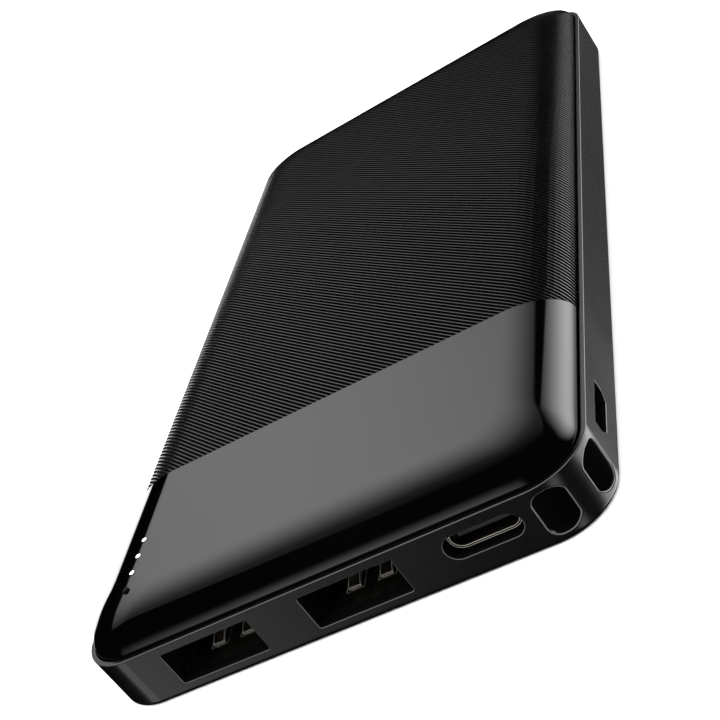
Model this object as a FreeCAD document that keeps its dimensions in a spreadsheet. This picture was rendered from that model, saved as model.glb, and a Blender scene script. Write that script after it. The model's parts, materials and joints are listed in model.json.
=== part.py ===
"""Slim power bank: a snapped two-part case, two stacked pouch cells and a port board.

Frame: origin at the centre of the underside, +Z out through the glossy cover,
-Y towards the end that carries the ports, millimetres throughout.
"""
import FreeCAD, Part
import math
import os
import Sketcher

VECTOR = FreeCAD.Vector

# Every driving dimension, in millimetres, grouped by sub-part.
DIMENSIONS = {
    # Case
    "case_width": 69.0,
    "case_length": 137.0,
    "case_thickness": 12.0,
    "corner_radius": 7.4,
    "bottom_round": 0.8,
    "rim_height": 8.0,
    "rim_ledge": 0.65,
    "rim_edge_round": 0.13,
    "mouth_edge_round": 0.12,
    "lanyard_edge_round": 0.22,
    "wall": 1.6,
    "floor": 1.3,
    "seat_height": 7.4,
    "rib_width": 1.0,
    "rib_height": 3.0,
    "cell_rib_x": 30.0,
    "cross_rib_y": -40.6,
    "cross_rib_length": 46.0,
    "cross_rib_height": 0.7,
    "boss_radius": 1.9,
    "pilot_radius": 0.75,
    "pilot_bottom": 0.4,
    # Cover
    "cover_inset": 0.85,
    "cover_wall": 1.2,
    "cover_roof": 1.3,
    "round_run": 8.0,
    "inner_round_run": 7.0,
    "flat_corner_radius": 5.0,
    "inner_flat_corner_radius": 4.4,
    "latch_leg_x": 31.7,
    "latch_leg_thickness": 1.05,
    "latch_leg_width": 6.0,
    "latch_leg_bottom": 4.0,
    "latch_leg_height": 4.8,
    "latch_bead_bottom": 4.4,
    "latch_bead_height": 0.9,
    "latch_bead_depth": 0.45,
    "latch_slot_margin": 0.15,
    "latch_end_x": 18.0,
    # Corner post with the lanyard passage
    "lanyard_centre_x": 34.3,
    "lanyard_centre_y": -69.0,
    "lanyard_radius": 5.7,
    "lanyard_width": 3.3,
    "lanyard_bottom": 1.25,
    "lanyard_height": 5.8,
    "lanyard_corner": 1.4,
    "post_radius": 8.4,
    # Board
    "board_bottom": 2.2,
    "board_thickness": 1.0,
    "board_half_width": 31.8,
    "board_front": -64.9,
    "board_back": -42.0,
    "board_chamfer": 5.2,
    "board_post_radius": 8.8,
    "board_hole_radius": 0.95,
    # Full-size USB sockets
    "usb_a_left_x": -16.29,
    "usb_a_right_x": 3.475,
    "usb_a_z": 4.215,
    "usb_a_hole_width": 12.66,
    "usb_a_hole_height": 5.03,
    "usb_a_hole_corner": 0.3,
    "usb_a_width": 13.1,
    "usb_a_height": 5.6,
    "usb_a_length": 14.0,
    "usb_a_sheet": 0.3,
    "usb_a_corner": 0.65,
    "usb_a_tab_width": 0.9,
    "usb_a_tab_length": 2.0,
    "usb_a_tab_first": 3.0,
    "usb_a_tab_pitch": 6.0,
    "usb_a_window_width": 2.4,
    "usb_a_window_length": 6.2,
    "usb_a_window_front": 2.7,
    "usb_a_window_x": 2.2,
    "usb_a_spring_width": 1.6,
    "usb_a_spring_tip": 3.0,
    "usb_a_spring_crest": 4.4,
    "usb_a_spring_bulge": 0.7,
    "usb_a_spring_upper_bulge": 0.22,
    "usb_a_tongue_width": 11.1,
    "usb_a_tongue_front": 2.6,
    "usb_a_tongue_bottom": 0.3,
    "usb_a_tongue_thickness": 1.84,
    "usb_a_block_front": 11.6,
    "usb_a_block_back": 13.7,
    "usb_a_contact_width": 1.1,
    "usb_a_contact_thickness": 0.22,
    "usb_a_contact_front": 3.1,
    "usb_a_foot_back": 15.8,
    "usb_a_contact_inner": 1.0,
    "usb_a_contact_outer": 3.5,
    "socket_setback": 0.1,
    "slot_margin": 0.2,
    "slot_back": -52.5,
    # Reversible USB socket
    "usb_c_x": 20.4,
    "usb_c_z": 4.83,
    "usb_c_hole_width": 9.6,
    "usb_c_hole_height": 3.3,
    "usb_c_width": 8.94,
    "usb_c_height": 3.26,
    "usb_c_length": 7.3,
    "usb_c_sheet": 0.3,
    "usb_c_tongue_width": 6.7,
    "usb_c_tongue_thickness": 0.7,
    "usb_c_tongue_front": 0.6,
    "usb_c_block_front": 5.4,
    "usb_c_contact_pitch": 0.5,
    "usb_c_contact_width": 0.26,
    "usb_c_contact_thickness": 0.06,
    "usb_c_contact_front": 1.1,
    "usb_c_foot_back": 8.3,
    "usb_c_leg_x": 4.3,
    "usb_c_leg_thickness": 0.35,
    "usb_c_leg_length": 1.2,
    "usb_c_leg_first": 1.0,
    "usb_c_leg_pitch": 4.0,
    # Small input socket in the side
    "micro_y": -54.0,
    "micro_z": 4.4,
    "micro_hole_width": 7.8,
    "micro_hole_height": 2.6,
    "micro_hole_side": 1.5,
    "micro_hole_floor": 5.6,
    "micro_width": 7.5,
    "micro_height": 2.4,
    "micro_side": 1.35,
    "micro_base": 5.4,
    "micro_sheet": 0.25,
    "micro_length": 5.0,
    "micro_tongue_width": 3.9,
    "micro_tongue_thickness": 0.55,
    "micro_tongue_bottom": 0.15,
    "micro_tongue_front": 0.7,
    "micro_block_front": 3.4,
    "micro_block_width": 5.3,
    "micro_contact_pitch": 0.65,
    "micro_contact_width": 0.35,
    "micro_contact_thickness": 0.12,
    "micro_contact_front": 1.0,
    "micro_foot_back": 5.9,
    # Side button and the switch behind it
    "button_y": -55.5,
    "button_z": 4.3,
    "button_width": 8.7,
    "button_height": 2.7,
    "button_gap": 0.15,
    "button_flange_margin": 0.9,
    "button_flange_thickness": 0.5,
    "button_reach": 1.65,
    "switch_front": -31.5,
    "switch_depth": 2.8,
    "switch_width": 6.0,
    "switch_height": 2.2,
    "plunger_front": -32.3,
    "plunger_length": 1.9,
    "plunger_width": 1.6,
    "plunger_height": 1.2,
    "plunger_gap": 0.15,
    "plunger_hole_depth": 1.6,
    "switch_sheet": 0.2,
    # Charge lights
    "light_x": -26.3,
    "light_first_y": -60.4,
    "light_pitch": 3.1,
    "light_hole_radius": 0.5,
    "light_pipe_radius": 0.45,
    "light_pipe_bottom": 3.9,
    "light_bar_height": 1.0,
    "light_bar_width": 1.4,
    "light_chip_width": 0.8,
    "light_chip_length": 1.6,
    "light_chip_height": 0.6,
    "shield_width": 2.4,
    "shield_height": 6.6,
    "shield_wall": 0.45,
    # Board components
    "coil_size": 7.0,
    "coil_height": 4.0,
    "coil_corner": 1.2,
    "coil_pad": 0.25,
    "controller_size": 5.0,
    "controller_height": 0.85,
    "fet_width": 4.4,
    "fet_length": 3.0,
    "fet_height": 1.0,
    "fet_pin_length": 1.0,
    "fet_pin_width": 0.25,
    "fet_pin_thickness": 0.3,
    "monitor_width": 1.6,
    "monitor_length": 2.9,
    "monitor_height": 1.1,
    "can_radius": 2.5,
    "can_height": 5.4,
    "can_base": 5.3,
    "can_base_height": 0.8,
    "big_chip_length": 2.0,
    "big_chip_width": 1.25,
    "big_chip_height": 1.2,
    "small_chip_length": 1.0,
    "small_chip_width": 0.5,
    "small_chip_height": 0.35,
    # Cells and their wiring
    "cell_width": 58.0,
    "cell_front": -35.0,
    "cell_length": 98.5,
    "cell_thickness": 4.1,
    "cell_round": 1.3,
    "cell_corner": 2.0,
    "tape_thickness": 0.2,
    "terrace_width": 52.0,
    "terrace_length": 3.6,
    "terrace_thickness": 0.6,
    "tab_x": 9.0,
    "tab_width": 5.0,
    "tab_thickness": 0.2,
    "tab_length": 1.8,
    "tab_link_thickness": 0.2,
    "insulation_width": 12.0,
    "insulation_thickness": 0.1,
    "foam_width": 50.0,
    "foam_length": 84.0,
    "foam_thickness": 0.7,
    "foam_centre_y": 14.0,
    "lead_radius": 0.55,
    "lead_end_y": -45.4,
    "lead_bend": 1.6,
    # Board screws
    "screw_head_radius": 1.4,
    "screw_head_height": 0.9,
    "screw_shank_radius": 0.7,
    "screw_length": 2.6,
    "screw_recess_width": 0.35,
    "screw_recess_length": 1.7,
    "screw_recess_depth": 0.45,
}

SCREW_SITES = ((-29.6, -61.4), (-6.4, -62.0), (-29.0, -44.6), (29.0, -44.6), (13.2, -57.5))
LATCH_SITES = (-27.0, 3.0, 33.0, 56.0)
LIGHT_COUNT = 4
ROUNDING_STEPS = 7

document = FreeCAD.newDocument("PowerBank")
sheet = document.addObject("Spreadsheet::Sheet", "Dimensions")


class Size:
    """A length held both as a number and as the spreadsheet expression that drives it."""

    def __init__(self, value, text=None):
        self.value = value
        self.text = text if text else repr(value)

    def __add__(self, other):
        other = as_size(other)
        return Size(self.value + other.value, f"({self.text} + {other.text})")

    def __sub__(self, other):
        other = as_size(other)
        return Size(self.value - other.value, f"({self.text} - {other.text})")

    def __mul__(self, factor):
        return Size(self.value * factor, f"({self.text} * {factor!r})")

    def __truediv__(self, factor):
        return Size(self.value / factor, f"({self.text} / {factor!r})")

    def __neg__(self):
        return Size(-self.value, f"(0 - {self.text})")


class DrivingDimensions:
    """Hands out each spreadsheet dimension by its name."""

    def __getattr__(self, name):
        return Size(DIMENSIONS[name], "Dimensions." + name)


def as_size(value):
    return value if isinstance(value, Size) else Size(float(value))


d = DrivingDimensions()


def fill_sheet():
    for row, (name, value) in enumerate(DIMENSIONS.items(), start=1):
        sheet.set(f"A{row}", name)
        sheet.set(f"B{row}", str(value))
        sheet.setAlias(f"B{row}", name)
    document.recompute()


def bind(item, field, size):
    item.setExpression(field, as_size(size).text)


# ---------------------------------------------------------------- sketches

def new_body(label):
    body = document.addObject("PartDesign::Body", label)
    body.Label = label
    return body


def sketch_on(body, role, across, up, out):
    """A sketch on one of the body's own origin planes, its origin moved within that plane."""
    sketch = body.newObject("Sketcher::SketchObject", "Profile")
    plane = [item for item in body.Origin.OriginFeatures if item.Role == role][0]
    sketch.AttachmentSupport = [(plane, "")]
    sketch.MapMode = "FlatFace"
    for axis, size in (("x", across), ("y", up), ("z", out)):
        bind(sketch, "AttachmentOffset.Base." + axis, size)
    return sketch


def plan_sketch(body, x, y, z):
    return sketch_on(body, "XY_Plane", x, y, z)


def front_sketch(body, x, z, y):
    return sketch_on(body, "XZ_Plane", x, z, -as_size(y))


def side_sketch(body, y, z, x):
    return sketch_on(body, "YZ_Plane", y, z, x)


def fix(sketch, kind, size, *targets):
    """A dimensional constraint tied to a driving dimension."""
    size = as_size(size)
    index = sketch.addConstraint(Sketcher.Constraint(kind, *targets, size.value))
    sketch.setExpression(f"Constraints[{index}]", size.text)


def draw_polygon(sketch, points):
    points = [(as_size(x), as_size(y)) for x, y in points]
    first = sketch.GeometryCount
    count = len(points)
    for index in range(count):
        start = VECTOR(points[index][0].value, points[index][1].value, 0)
        following = points[(index + 1) % count]
        end = VECTOR(following[0].value, following[1].value, 0)
        sketch.addGeometry(Part.LineSegment(start, end))
    for index in range(count):
        here = first + index
        ahead = first + (index + 1) % count
        sketch.addConstraint(Sketcher.Constraint("Coincident", here, 2, ahead, 1))
    for index, (x, y) in enumerate(points):
        fix(sketch, "DistanceX", x, -1, 1, first + index, 1)
        fix(sketch, "DistanceY", y, -1, 1, first + index, 1)
    return sketch


def draw_rectangle(sketch, width, height):
    half_width = as_size(width) / 2
    half_height = as_size(height) / 2
    corners = (
        (-half_width, -half_height),
        (half_width, -half_height),
        (half_width, half_height),
        (-half_width, half_height),
    )
    return draw_polygon(sketch, corners)


def draw_circle(sketch, radius):
    radius = as_size(radius)
    index = sketch.addGeometry(Part.Circle(VECTOR(0, 0, 0), VECTOR(0, 0, 1), radius.value))
    sketch.addConstraint(Sketcher.Constraint("Coincident", index, 3, -1, 1))
    fix(sketch, "Radius", radius, index)
    return sketch


def add_arc(sketch, x, y, radius, start_degrees, sweep_degrees=90):
    circle = Part.Circle(VECTOR(x, y, 0), VECTOR(0, 0, 1), radius)
    start = math.radians(start_degrees)
    end = math.radians(start_degrees + sweep_degrees)
    return sketch.addGeometry(Part.ArcOfCircle(circle, start, end))


def draw_rounded_rectangle(sketch, width, height, radius):
    """A rectangle about the sketch origin with four equal rounded corners."""
    width, height, radius = as_size(width), as_size(height), as_size(radius)
    x = width.value / 2
    y = height.value / 2
    r = radius.value
    segments = (
        ((-x + r, -y), (x - r, -y)),
        ((x, -y + r), (x, y - r)),
        ((x - r, y), (-x + r, y)),
        ((-x, y - r), (-x, -y + r)),
    )
    centres = ((x - r, -y + r, 270), (x - r, y - r, 0), (-x + r, y - r, 90), (-x + r, -y + r, 180))
    lines = []
    for start, end in segments:
        lines.append(sketch.addGeometry(Part.LineSegment(VECTOR(*start, 0), VECTOR(*end, 0))))
    arcs = [add_arc(sketch, cx, cy, r, angle) for cx, cy, angle in centres]
    for index in range(4):
        sketch.addConstraint(Sketcher.Constraint("Tangent", lines[index], 2, arcs[index], 1))
        ahead = lines[(index + 1) % 4]
        sketch.addConstraint(Sketcher.Constraint("Tangent", arcs[index], 2, ahead, 1))
    for index in (0, 2):
        sketch.addConstraint(Sketcher.Constraint("Horizontal", lines[index]))
    for index in (1, 3):
        sketch.addConstraint(Sketcher.Constraint("Vertical", lines[index]))
    for index in (1, 2, 3):
        sketch.addConstraint(Sketcher.Constraint("Equal", arcs[0], arcs[index]))
    sketch.addConstraint(Sketcher.Constraint("Symmetric", arcs[0], 3, arcs[2], 3, -1, 1))
    fix(sketch, "Radius", radius, arcs[0])
    fix(sketch, "DistanceX", width, lines[3], 2, lines[1], 1)
    fix(sketch, "DistanceY", height, lines[0], 1, lines[2], 2)
    return sketch


def draw_stadium(sketch, width, height):
    """A slot outline about the sketch origin, its ends full half circles."""
    width, height = as_size(width), as_size(height)
    r = height.value / 2
    x = width.value / 2 - r
    lower = sketch.addGeometry(Part.LineSegment(VECTOR(-x, -r, 0), VECTOR(x, -r, 0)))
    right = add_arc(sketch, x, 0, r, 270, 180)
    upper = sketch.addGeometry(Part.LineSegment(VECTOR(x, r, 0), VECTOR(-x, r, 0)))
    left = add_arc(sketch, -x, 0, r, 90, 180)
    ring = (lower, right, upper, left)
    for index in range(4):
        ahead = ring[(index + 1) % 4]
        sketch.addConstraint(Sketcher.Constraint("Tangent", ring[index], 2, ahead, 1))
    sketch.addConstraint(Sketcher.Constraint("Horizontal", lower))
    sketch.addConstraint(Sketcher.Constraint("Horizontal", upper))
    sketch.addConstraint(Sketcher.Constraint("Symmetric", left, 3, right, 3, -1, 1))
    fix(sketch, "Radius", height / 2, right)
    fix(sketch, "DistanceX", width - height, left, 3, right, 3)
    return sketch


def draw_hood(sketch, width, height, side, base):
    """The outline of the small input socket: square above, its two lower corners cut."""
    half = as_size(height) / 2
    points = (
        (-(as_size(base) / 2), -half),
        (as_size(base) / 2, -half),
        (as_size(width) / 2, half - side),
        (as_size(width) / 2, half),
        (-(as_size(width) / 2), half),
        (-(as_size(width) / 2), half - side),
    )
    return draw_polygon(sketch, points)


# ---------------------------------------------------------------- solid features

def pad(body, sketch, length, reverse=False):
    feature = body.newObject("PartDesign::Pad", "Pad")
    feature.Profile = sketch
    bind(feature, "Length", length)
    feature.Reversed = reverse
    sketch.Visibility = False
    return feature


def pad_both_ways(body, sketch, length):
    feature = pad(body, sketch, length)
    feature.SideType = "Symmetric"
    return feature


def pocket(body, sketch, length, reverse=False):
    """Cuts the sketch into the body and makes sure that material really went."""
    document.recompute()
    before = body.Shape.Volume
    feature = body.newObject("PartDesign::Pocket", "Pocket")
    feature.Profile = sketch
    bind(feature, "Length", length)
    feature.Reversed = reverse
    sketch.Visibility = False
    document.recompute()
    if body.Shape.Volume > before - 1e-6:
        raise ValueError(body.Label + ": a pocket removed nothing")
    return feature


def fillet(body, feature, radius, wanted):
    """Rounds those edges of a feature whose bounds satisfy the test."""
    document.recompute()
    edges = feature.Shape.Edges
    names = [f"Edge{n + 1}" for n, edge in enumerate(edges) if wanted(edge.BoundBox)]
    rounding = body.newObject("PartDesign::Fillet", "Fillet")
    rounding.Base = (feature, names)
    bind(rounding, "Radius", radius)
    document.recompute()
    return rounding


def move(item, x, y, z, turn=0.0):
    item.Placement = FreeCAD.Placement(VECTOR(), FreeCAD.Rotation(VECTOR(0, 0, 1), turn))
    for axis, size in (("x", x), ("y", y), ("z", z)):
        bind(item, "Placement.Base." + axis, size)
    return item


def box(label, centre_x, centre_y, bottom, width, length, height):
    """A plain block given by the middle of its underside."""
    item = document.addObject("Part::Box", label)
    width, length = as_size(width), as_size(length)
    bind(item, "Length", width)
    bind(item, "Width", length)
    bind(item, "Height", height)
    move(item, as_size(centre_x) - width / 2, as_size(centre_y) - length / 2, bottom)
    return item


def rod(label, x, y, bottom, radius, height):
    item = document.addObject("Part::Cylinder", label)
    bind(item, "Radius", radius)
    bind(item, "Height", height)
    move(item, x, y, bottom)
    return item


def joined(label, pieces):
    item = document.addObject("Part::MultiFuse", label)
    item.Shapes = pieces
    item.Label = label
    return item


def overlap(label, pieces):
    item = document.addObject("Part::MultiCommon", label)
    item.Shapes = pieces
    item.Label = label
    return item


def cut(label, base, tool):
    item = document.addObject("Part::Cut", label)
    item.Base = base
    item.Tool = tool
    item.Label = label
    return item


def group(label, pieces):
    """Several separate solids of one kind kept as one sub-part."""
    item = document.addObject("Part::Compound", label)
    item.Links = pieces
    item.Label = label
    return item


# ---------------------------------------------------------------- case

def wall_front():
    return -(d.case_length / 2)


def socket_front():
    return -(d.case_length / 2) + d.wall + d.socket_setback


def board_top():
    return d.board_bottom + d.board_thickness


def case_outline(sketch, inset, radius_inset=None):
    shrink = as_size(inset) * 2
    radius = d.corner_radius - (inset if radius_inset is None else radius_inset)
    return draw_rounded_rectangle(sketch, d.case_width - shrink, d.case_length - shrink, radius)


def latch_places():
    """Where each cover latch sits: position along the wall and the side it faces."""
    places = [(side, y) for side in (-1, 1) for y in LATCH_SITES]
    return places


def cut_port_openings(shell):
    mouth_z = d.usb_a_z
    for x in (d.usb_a_left_x, d.usb_a_right_x):
        sketch = front_sketch(shell, x, mouth_z, wall_front())
        draw_rounded_rectangle(sketch, d.usb_a_hole_width, d.usb_a_hole_height, d.usb_a_hole_corner)
        pocket(shell, sketch, d.wall + 0.2)
    sketch = front_sketch(shell, d.usb_c_x, d.usb_c_z, wall_front())
    draw_stadium(sketch, d.usb_c_hole_width, d.usb_c_hole_height)
    pocket(shell, sketch, d.wall + 0.2)
    sketch = side_sketch(shell, d.micro_y, d.micro_z, d.case_width / 2)
    draw_hood(
        sketch, d.micro_hole_width, d.micro_hole_height, d.micro_hole_side, d.micro_hole_floor
    )
    pocket(shell, sketch, d.wall + 0.2)
    sketch = side_sketch(shell, d.button_y, d.button_z, -(d.case_width / 2))
    draw_stadium(sketch, d.button_width + d.button_gap * 2, d.button_height + d.button_gap * 2)
    return pocket(shell, sketch, d.wall + 0.2, reverse=True)


def round_mouths(shell, feature):
    """Softens the outer edge of each opening in the end wall and the two side walls."""
    half_x = d.case_width.value / 2
    half_y = d.case_length.value / 2
    flat_x = half_x - d.corner_radius.value - 1.0
    flat_y = half_y - d.corner_radius.value

    def on_a_mouth(bounds):
        low = 1.0 < bounds.ZMin and bounds.ZMax < d.seat_height.value
        on_end = bounds.YMax < -half_y + 0.001 and max(-bounds.XMin, bounds.XMax) < flat_x
        on_side = abs(bounds.XMin) > half_x - 0.001 and bounds.XMax - bounds.XMin < 0.001
        inside = bounds.YMin > -flat_y + 1.0 and bounds.YMax < flat_y - 1.0
        return low and (on_end or (on_side and inside))

    fillet(shell, feature, d.mouth_edge_round, on_a_mouth)


def cut_latch_slots(shell):
    width = d.latch_leg_width + d.latch_slot_margin * 4
    height = d.latch_bead_height + d.latch_slot_margin * 2
    middle = d.latch_bead_bottom + d.latch_bead_height / 2
    face = d.case_width / 2 - d.wall
    depth = d.latch_bead_depth + d.latch_slot_margin * 0.5
    for side, y in latch_places():
        sketch = side_sketch(shell, y, middle, face * side)
        draw_rectangle(sketch, width, height)
        pocket(shell, sketch, depth, reverse=side > 0)


def add_shell_ribs(shell):
    middle = d.cell_front + d.cell_length / 2
    for side in (-1, 1):
        sketch = plan_sketch(shell, d.cell_rib_x * side, middle, d.floor)
        draw_rectangle(sketch, d.rib_width, d.cell_length)
        pad(shell, sketch, d.rib_height)
    sketch = plan_sketch(shell, 0, d.cross_rib_y, d.floor)
    draw_rectangle(sketch, d.cross_rib_length, d.rib_width)
    pad(shell, sketch, d.cross_rib_height)


def add_board_bosses(shell):
    for x, y in SCREW_SITES:
        pad(shell, draw_circle(plan_sketch(shell, x, y, d.floor), d.boss_radius), d.board_bottom - d.floor)
    for x, y in SCREW_SITES:
        sketch = draw_circle(plan_sketch(shell, x, y, d.board_bottom), d.pilot_radius)
        pocket(shell, sketch, d.board_bottom - d.pilot_bottom)


def make_corner_post():
    """The solid corner that carries the lanyard passage."""
    core = new_body("post_core")
    pad(core, case_outline(plan_sketch(core, 0, 0, d.floor), d.wall / 2), d.seat_height - d.floor)
    column = rod(
        "post_column",
        d.lanyard_centre_x,
        d.lanyard_centre_y,
        d.floor,
        d.post_radius,
        d.seat_height - d.floor,
    )
    return overlap("corner_post", [core, column])


def make_lanyard_ring():
    """The curved passage, a rounded section turned about the outer corner."""
    ring = new_body("lanyard_ring")
    middle = d.lanyard_bottom + d.lanyard_height / 2
    sketch = front_sketch(ring, d.lanyard_radius, middle, 0)
    draw_rounded_rectangle(sketch, d.lanyard_width, d.lanyard_height, d.lanyard_corner)
    turned = ring.newObject("PartDesign::Revolution", "Revolution")
    turned.Profile = sketch
    axis = [item for item in ring.Origin.OriginFeatures if item.Role == "Z_Axis"][0]
    turned.ReferenceAxis = (axis, [""])
    turned.Angle = 360.0
    return move(ring, d.lanyard_centre_x, d.lanyard_centre_y, 0)


def make_bottom_shell():
    shell = new_body("shell_walls")
    outline = case_outline(plan_sketch(shell, 0, 0, 0), 0)
    block = pad(shell, outline, d.rim_height)
    fillet(shell, block, d.bottom_round, lambda bounds: bounds.ZMax < 0.001)
    cavity = case_outline(plan_sketch(shell, 0, 0, d.rim_height), d.wall)
    pocket(shell, cavity, d.rim_height - d.floor)
    seat = case_outline(plan_sketch(shell, 0, 0, d.rim_height), d.rim_ledge)
    rim = pocket(shell, seat, d.rim_height - d.seat_height)
    top = d.rim_height.value
    fillet(shell, rim, d.rim_edge_round, lambda bounds: bounds.ZMin > top - 0.001)
    round_mouths(shell, cut_port_openings(shell))
    cut_latch_slots(shell)
    add_shell_ribs(shell)
    add_board_bosses(shell)
    solid = joined("shell_with_post", [shell, make_corner_post()])
    pierced = cut("pierced_shell", solid, make_lanyard_ring())
    return round_lanyard_mouths(pierced)


def round_lanyard_mouths(pierced):
    """Rounds the edge where the passage breaks out through the outer wall on both sides."""
    document.recompute()
    finished = new_body("bottom_shell")
    finished.BaseFeature = pierced
    document.recompute()
    centre_x = d.case_width.value / 2 - d.corner_radius.value
    centre_y = d.corner_radius.value - d.case_length.value / 2
    radius = d.corner_radius.value

    def on_outer_wall(point):
        if point.x > centre_x and point.y < centre_y:
            return abs(math.hypot(point.x - centre_x, point.y - centre_y) - radius) < 0.003
        return point.x > centre_x + radius - 0.003 or point.y < centre_y - radius + 0.003

    low = d.lanyard_bottom.value - 0.01
    high = low + d.lanyard_height.value + 0.02
    names = []
    for number, edge in enumerate(finished.BaseFeature.Shape.Edges, start=1):
        bounds = edge.BoundBox
        near = bounds.XMin > centre_x - 1.0 and bounds.YMax < centre_y + 1.0
        if near and bounds.ZMin > low and bounds.ZMax < high:
            if all(on_outer_wall(point) for point in edge.discretize(7)):
                names.append(f"Edge{number}")
    rounding = finished.newObject("PartDesign::Fillet", "Fillet")
    rounding.Base = (finished.Group[0], names)
    bind(rounding, "Radius", d.lanyard_edge_round)
    return finished


def rounding_section(body, angle, inset, run, rise, flat_radius):
    """One level of the cover's rounding, from upright wall (0) to flat top (90 degrees)."""
    inward = inset + run * (1.0 - math.cos(angle))
    level = d.rim_height + rise * math.sin(angle)
    start_radius = d.corner_radius - inset
    radius = start_radius + (flat_radius - start_radius) * (1.0 - math.cos(angle))
    sketch = plan_sketch(body, 0, 0, level)
    width = d.case_width - inward * 2
    length = d.case_length - inward * 2
    return draw_rounded_rectangle(sketch, width, length, radius)


def rounding_loft(body, kind, inset, run, rise, flat_radius):
    sections = []
    for step in range(ROUNDING_STEPS):
        angle = math.pi / 2 * step / (ROUNDING_STEPS - 1)
        sections.append(rounding_section(body, angle, inset, run, rise, flat_radius))
    loft = body.newObject(kind, "Loft")
    loft.Profile = sections[0]
    loft.Sections = sections[1:]
    loft.Ruled = False
    document.recompute()
    return loft


def add_cover_latches(cover):
    for side, y in latch_places():
        middle = d.latch_leg_bottom + d.latch_leg_height / 2
        sketch = side_sketch(cover, y, middle, d.latch_leg_x * side)
        draw_rectangle(sketch, d.latch_leg_width, d.latch_leg_height)
        pad(cover, sketch, d.latch_leg_thickness, reverse=side < 0)
        bead_middle = d.latch_bead_bottom + d.latch_bead_height / 2
        face = d.latch_leg_x + d.latch_leg_thickness
        sketch = side_sketch(cover, y, bead_middle, face * side)
        draw_rectangle(sketch, d.latch_leg_width, d.latch_bead_height)
        pad(cover, sketch, d.latch_bead_depth, reverse=side < 0)


def make_top_cover():
    cover = new_body("top_cover")
    skirt_depth = d.rim_height - d.seat_height
    outer = case_outline(plan_sketch(cover, 0, 0, d.seat_height), d.cover_inset)
    pad(cover, outer, skirt_depth)
    rise = d.case_thickness - d.rim_height
    rounding_loft(
        cover, "PartDesign::AdditiveLoft", d.cover_inset, d.round_run, rise, d.flat_corner_radius
    )
    inner_inset = d.cover_inset + d.cover_wall
    inner = case_outline(plan_sketch(cover, 0, 0, d.rim_height), inner_inset)
    pocket(cover, inner, skirt_depth)
    rounding_loft(
        cover,
        "PartDesign::SubtractiveLoft",
        inner_inset,
        d.inner_round_run,
        rise - d.cover_roof,
        d.inner_flat_corner_radius,
    )
    add_cover_latches(cover)
    for index in range(LIGHT_COUNT):
        sketch = plan_sketch(cover, d.light_x, light_y(index), d.case_thickness)
        draw_circle(sketch, d.light_hole_radius)
        pocket(cover, sketch, d.cover_roof * 2)
    return cover


# ---------------------------------------------------------------- button and switch

def make_power_button():
    button = new_body("power_button")
    outer = -(d.case_width / 2)
    cap = draw_stadium(
        side_sketch(button, d.button_y, d.button_z, outer), d.button_width, d.button_height
    )
    pad(button, cap, d.button_reach)
    flange = draw_stadium(
        side_sketch(button, d.button_y, d.button_z, outer + d.button_reach),
        d.button_width + d.button_flange_margin * 2,
        d.button_height + d.button_flange_margin * 2,
    )
    pad(button, flange, d.button_flange_thickness)
    return button


def make_switch_housing():
    middle = d.switch_front + d.switch_depth / 2
    block = box(
        "switch_block",
        middle,
        d.button_y,
        board_top(),
        d.switch_depth,
        d.switch_width,
        d.switch_height,
    )
    margin = d.plunger_gap * 2
    hole = box(
        "switch_hole",
        d.switch_front + d.plunger_hole_depth / 2,
        d.button_y,
        d.button_z - d.plunger_height / 2 - d.plunger_gap,
        d.plunger_hole_depth,
        d.plunger_width + margin,
        d.plunger_height + margin,
    )
    return cut("tact_switch_housing", block, hole)


def make_switch_plunger():
    return box(
        "tact_switch_plunger",
        d.plunger_front + d.plunger_length / 2,
        d.button_y,
        d.button_z - d.plunger_height / 2,
        d.plunger_length,
        d.plunger_width,
        d.plunger_height,
    )


def make_switch_frame():
    """The bent steel strap that holds the switch together and solders to the board."""
    middle = d.switch_front + d.switch_depth / 2
    outer = box(
        "strap_block",
        middle,
        d.button_y,
        board_top(),
        d.switch_depth * 0.7,
        d.switch_width + d.switch_sheet * 2,
        d.switch_height + d.switch_sheet,
    )
    inner = box(
        "strap_core",
        middle,
        d.button_y,
        board_top(),
        d.switch_depth,
        d.switch_width,
        d.switch_height,
    )
    return cut("tact_switch_frame", outer, inner)


# ---------------------------------------------------------------- board

def slot_edges(centre):
    half = d.usb_a_width / 2 + d.slot_margin
    return centre - half, centre + half


def make_main_pcb():
    board = new_body("board_plate")
    left = -d.board_half_width
    right = d.board_half_width
    first_left, first_right = slot_edges(d.usb_a_left_x)
    second_left, second_right = slot_edges(d.usb_a_right_x)
    points = (
        (left + d.board_chamfer, d.board_front),
        (first_left, d.board_front),
        (first_left, d.slot_back),
        (first_right, d.slot_back),
        (first_right, d.board_front),
        (second_left, d.board_front),
        (second_left, d.slot_back),
        (second_right, d.slot_back),
        (second_right, d.board_front),
        (right, d.board_front),
        (right, d.board_back),
        (left, d.board_back),
        (left, d.board_front + d.board_chamfer),
    )
    pad(board, draw_polygon(plan_sketch(board, 0, 0, d.board_bottom), points), d.board_thickness)
    corner = plan_sketch(board, d.lanyard_centre_x, d.lanyard_centre_y, board_top())
    pocket(board, draw_circle(corner, d.board_post_radius), d.board_thickness)
    for x, y in SCREW_SITES:
        sketch = draw_circle(plan_sketch(board, x, y, board_top()), d.board_hole_radius)
        pocket(board, sketch, d.board_thickness)
    board.Label = "main_pcb"
    return board


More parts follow.
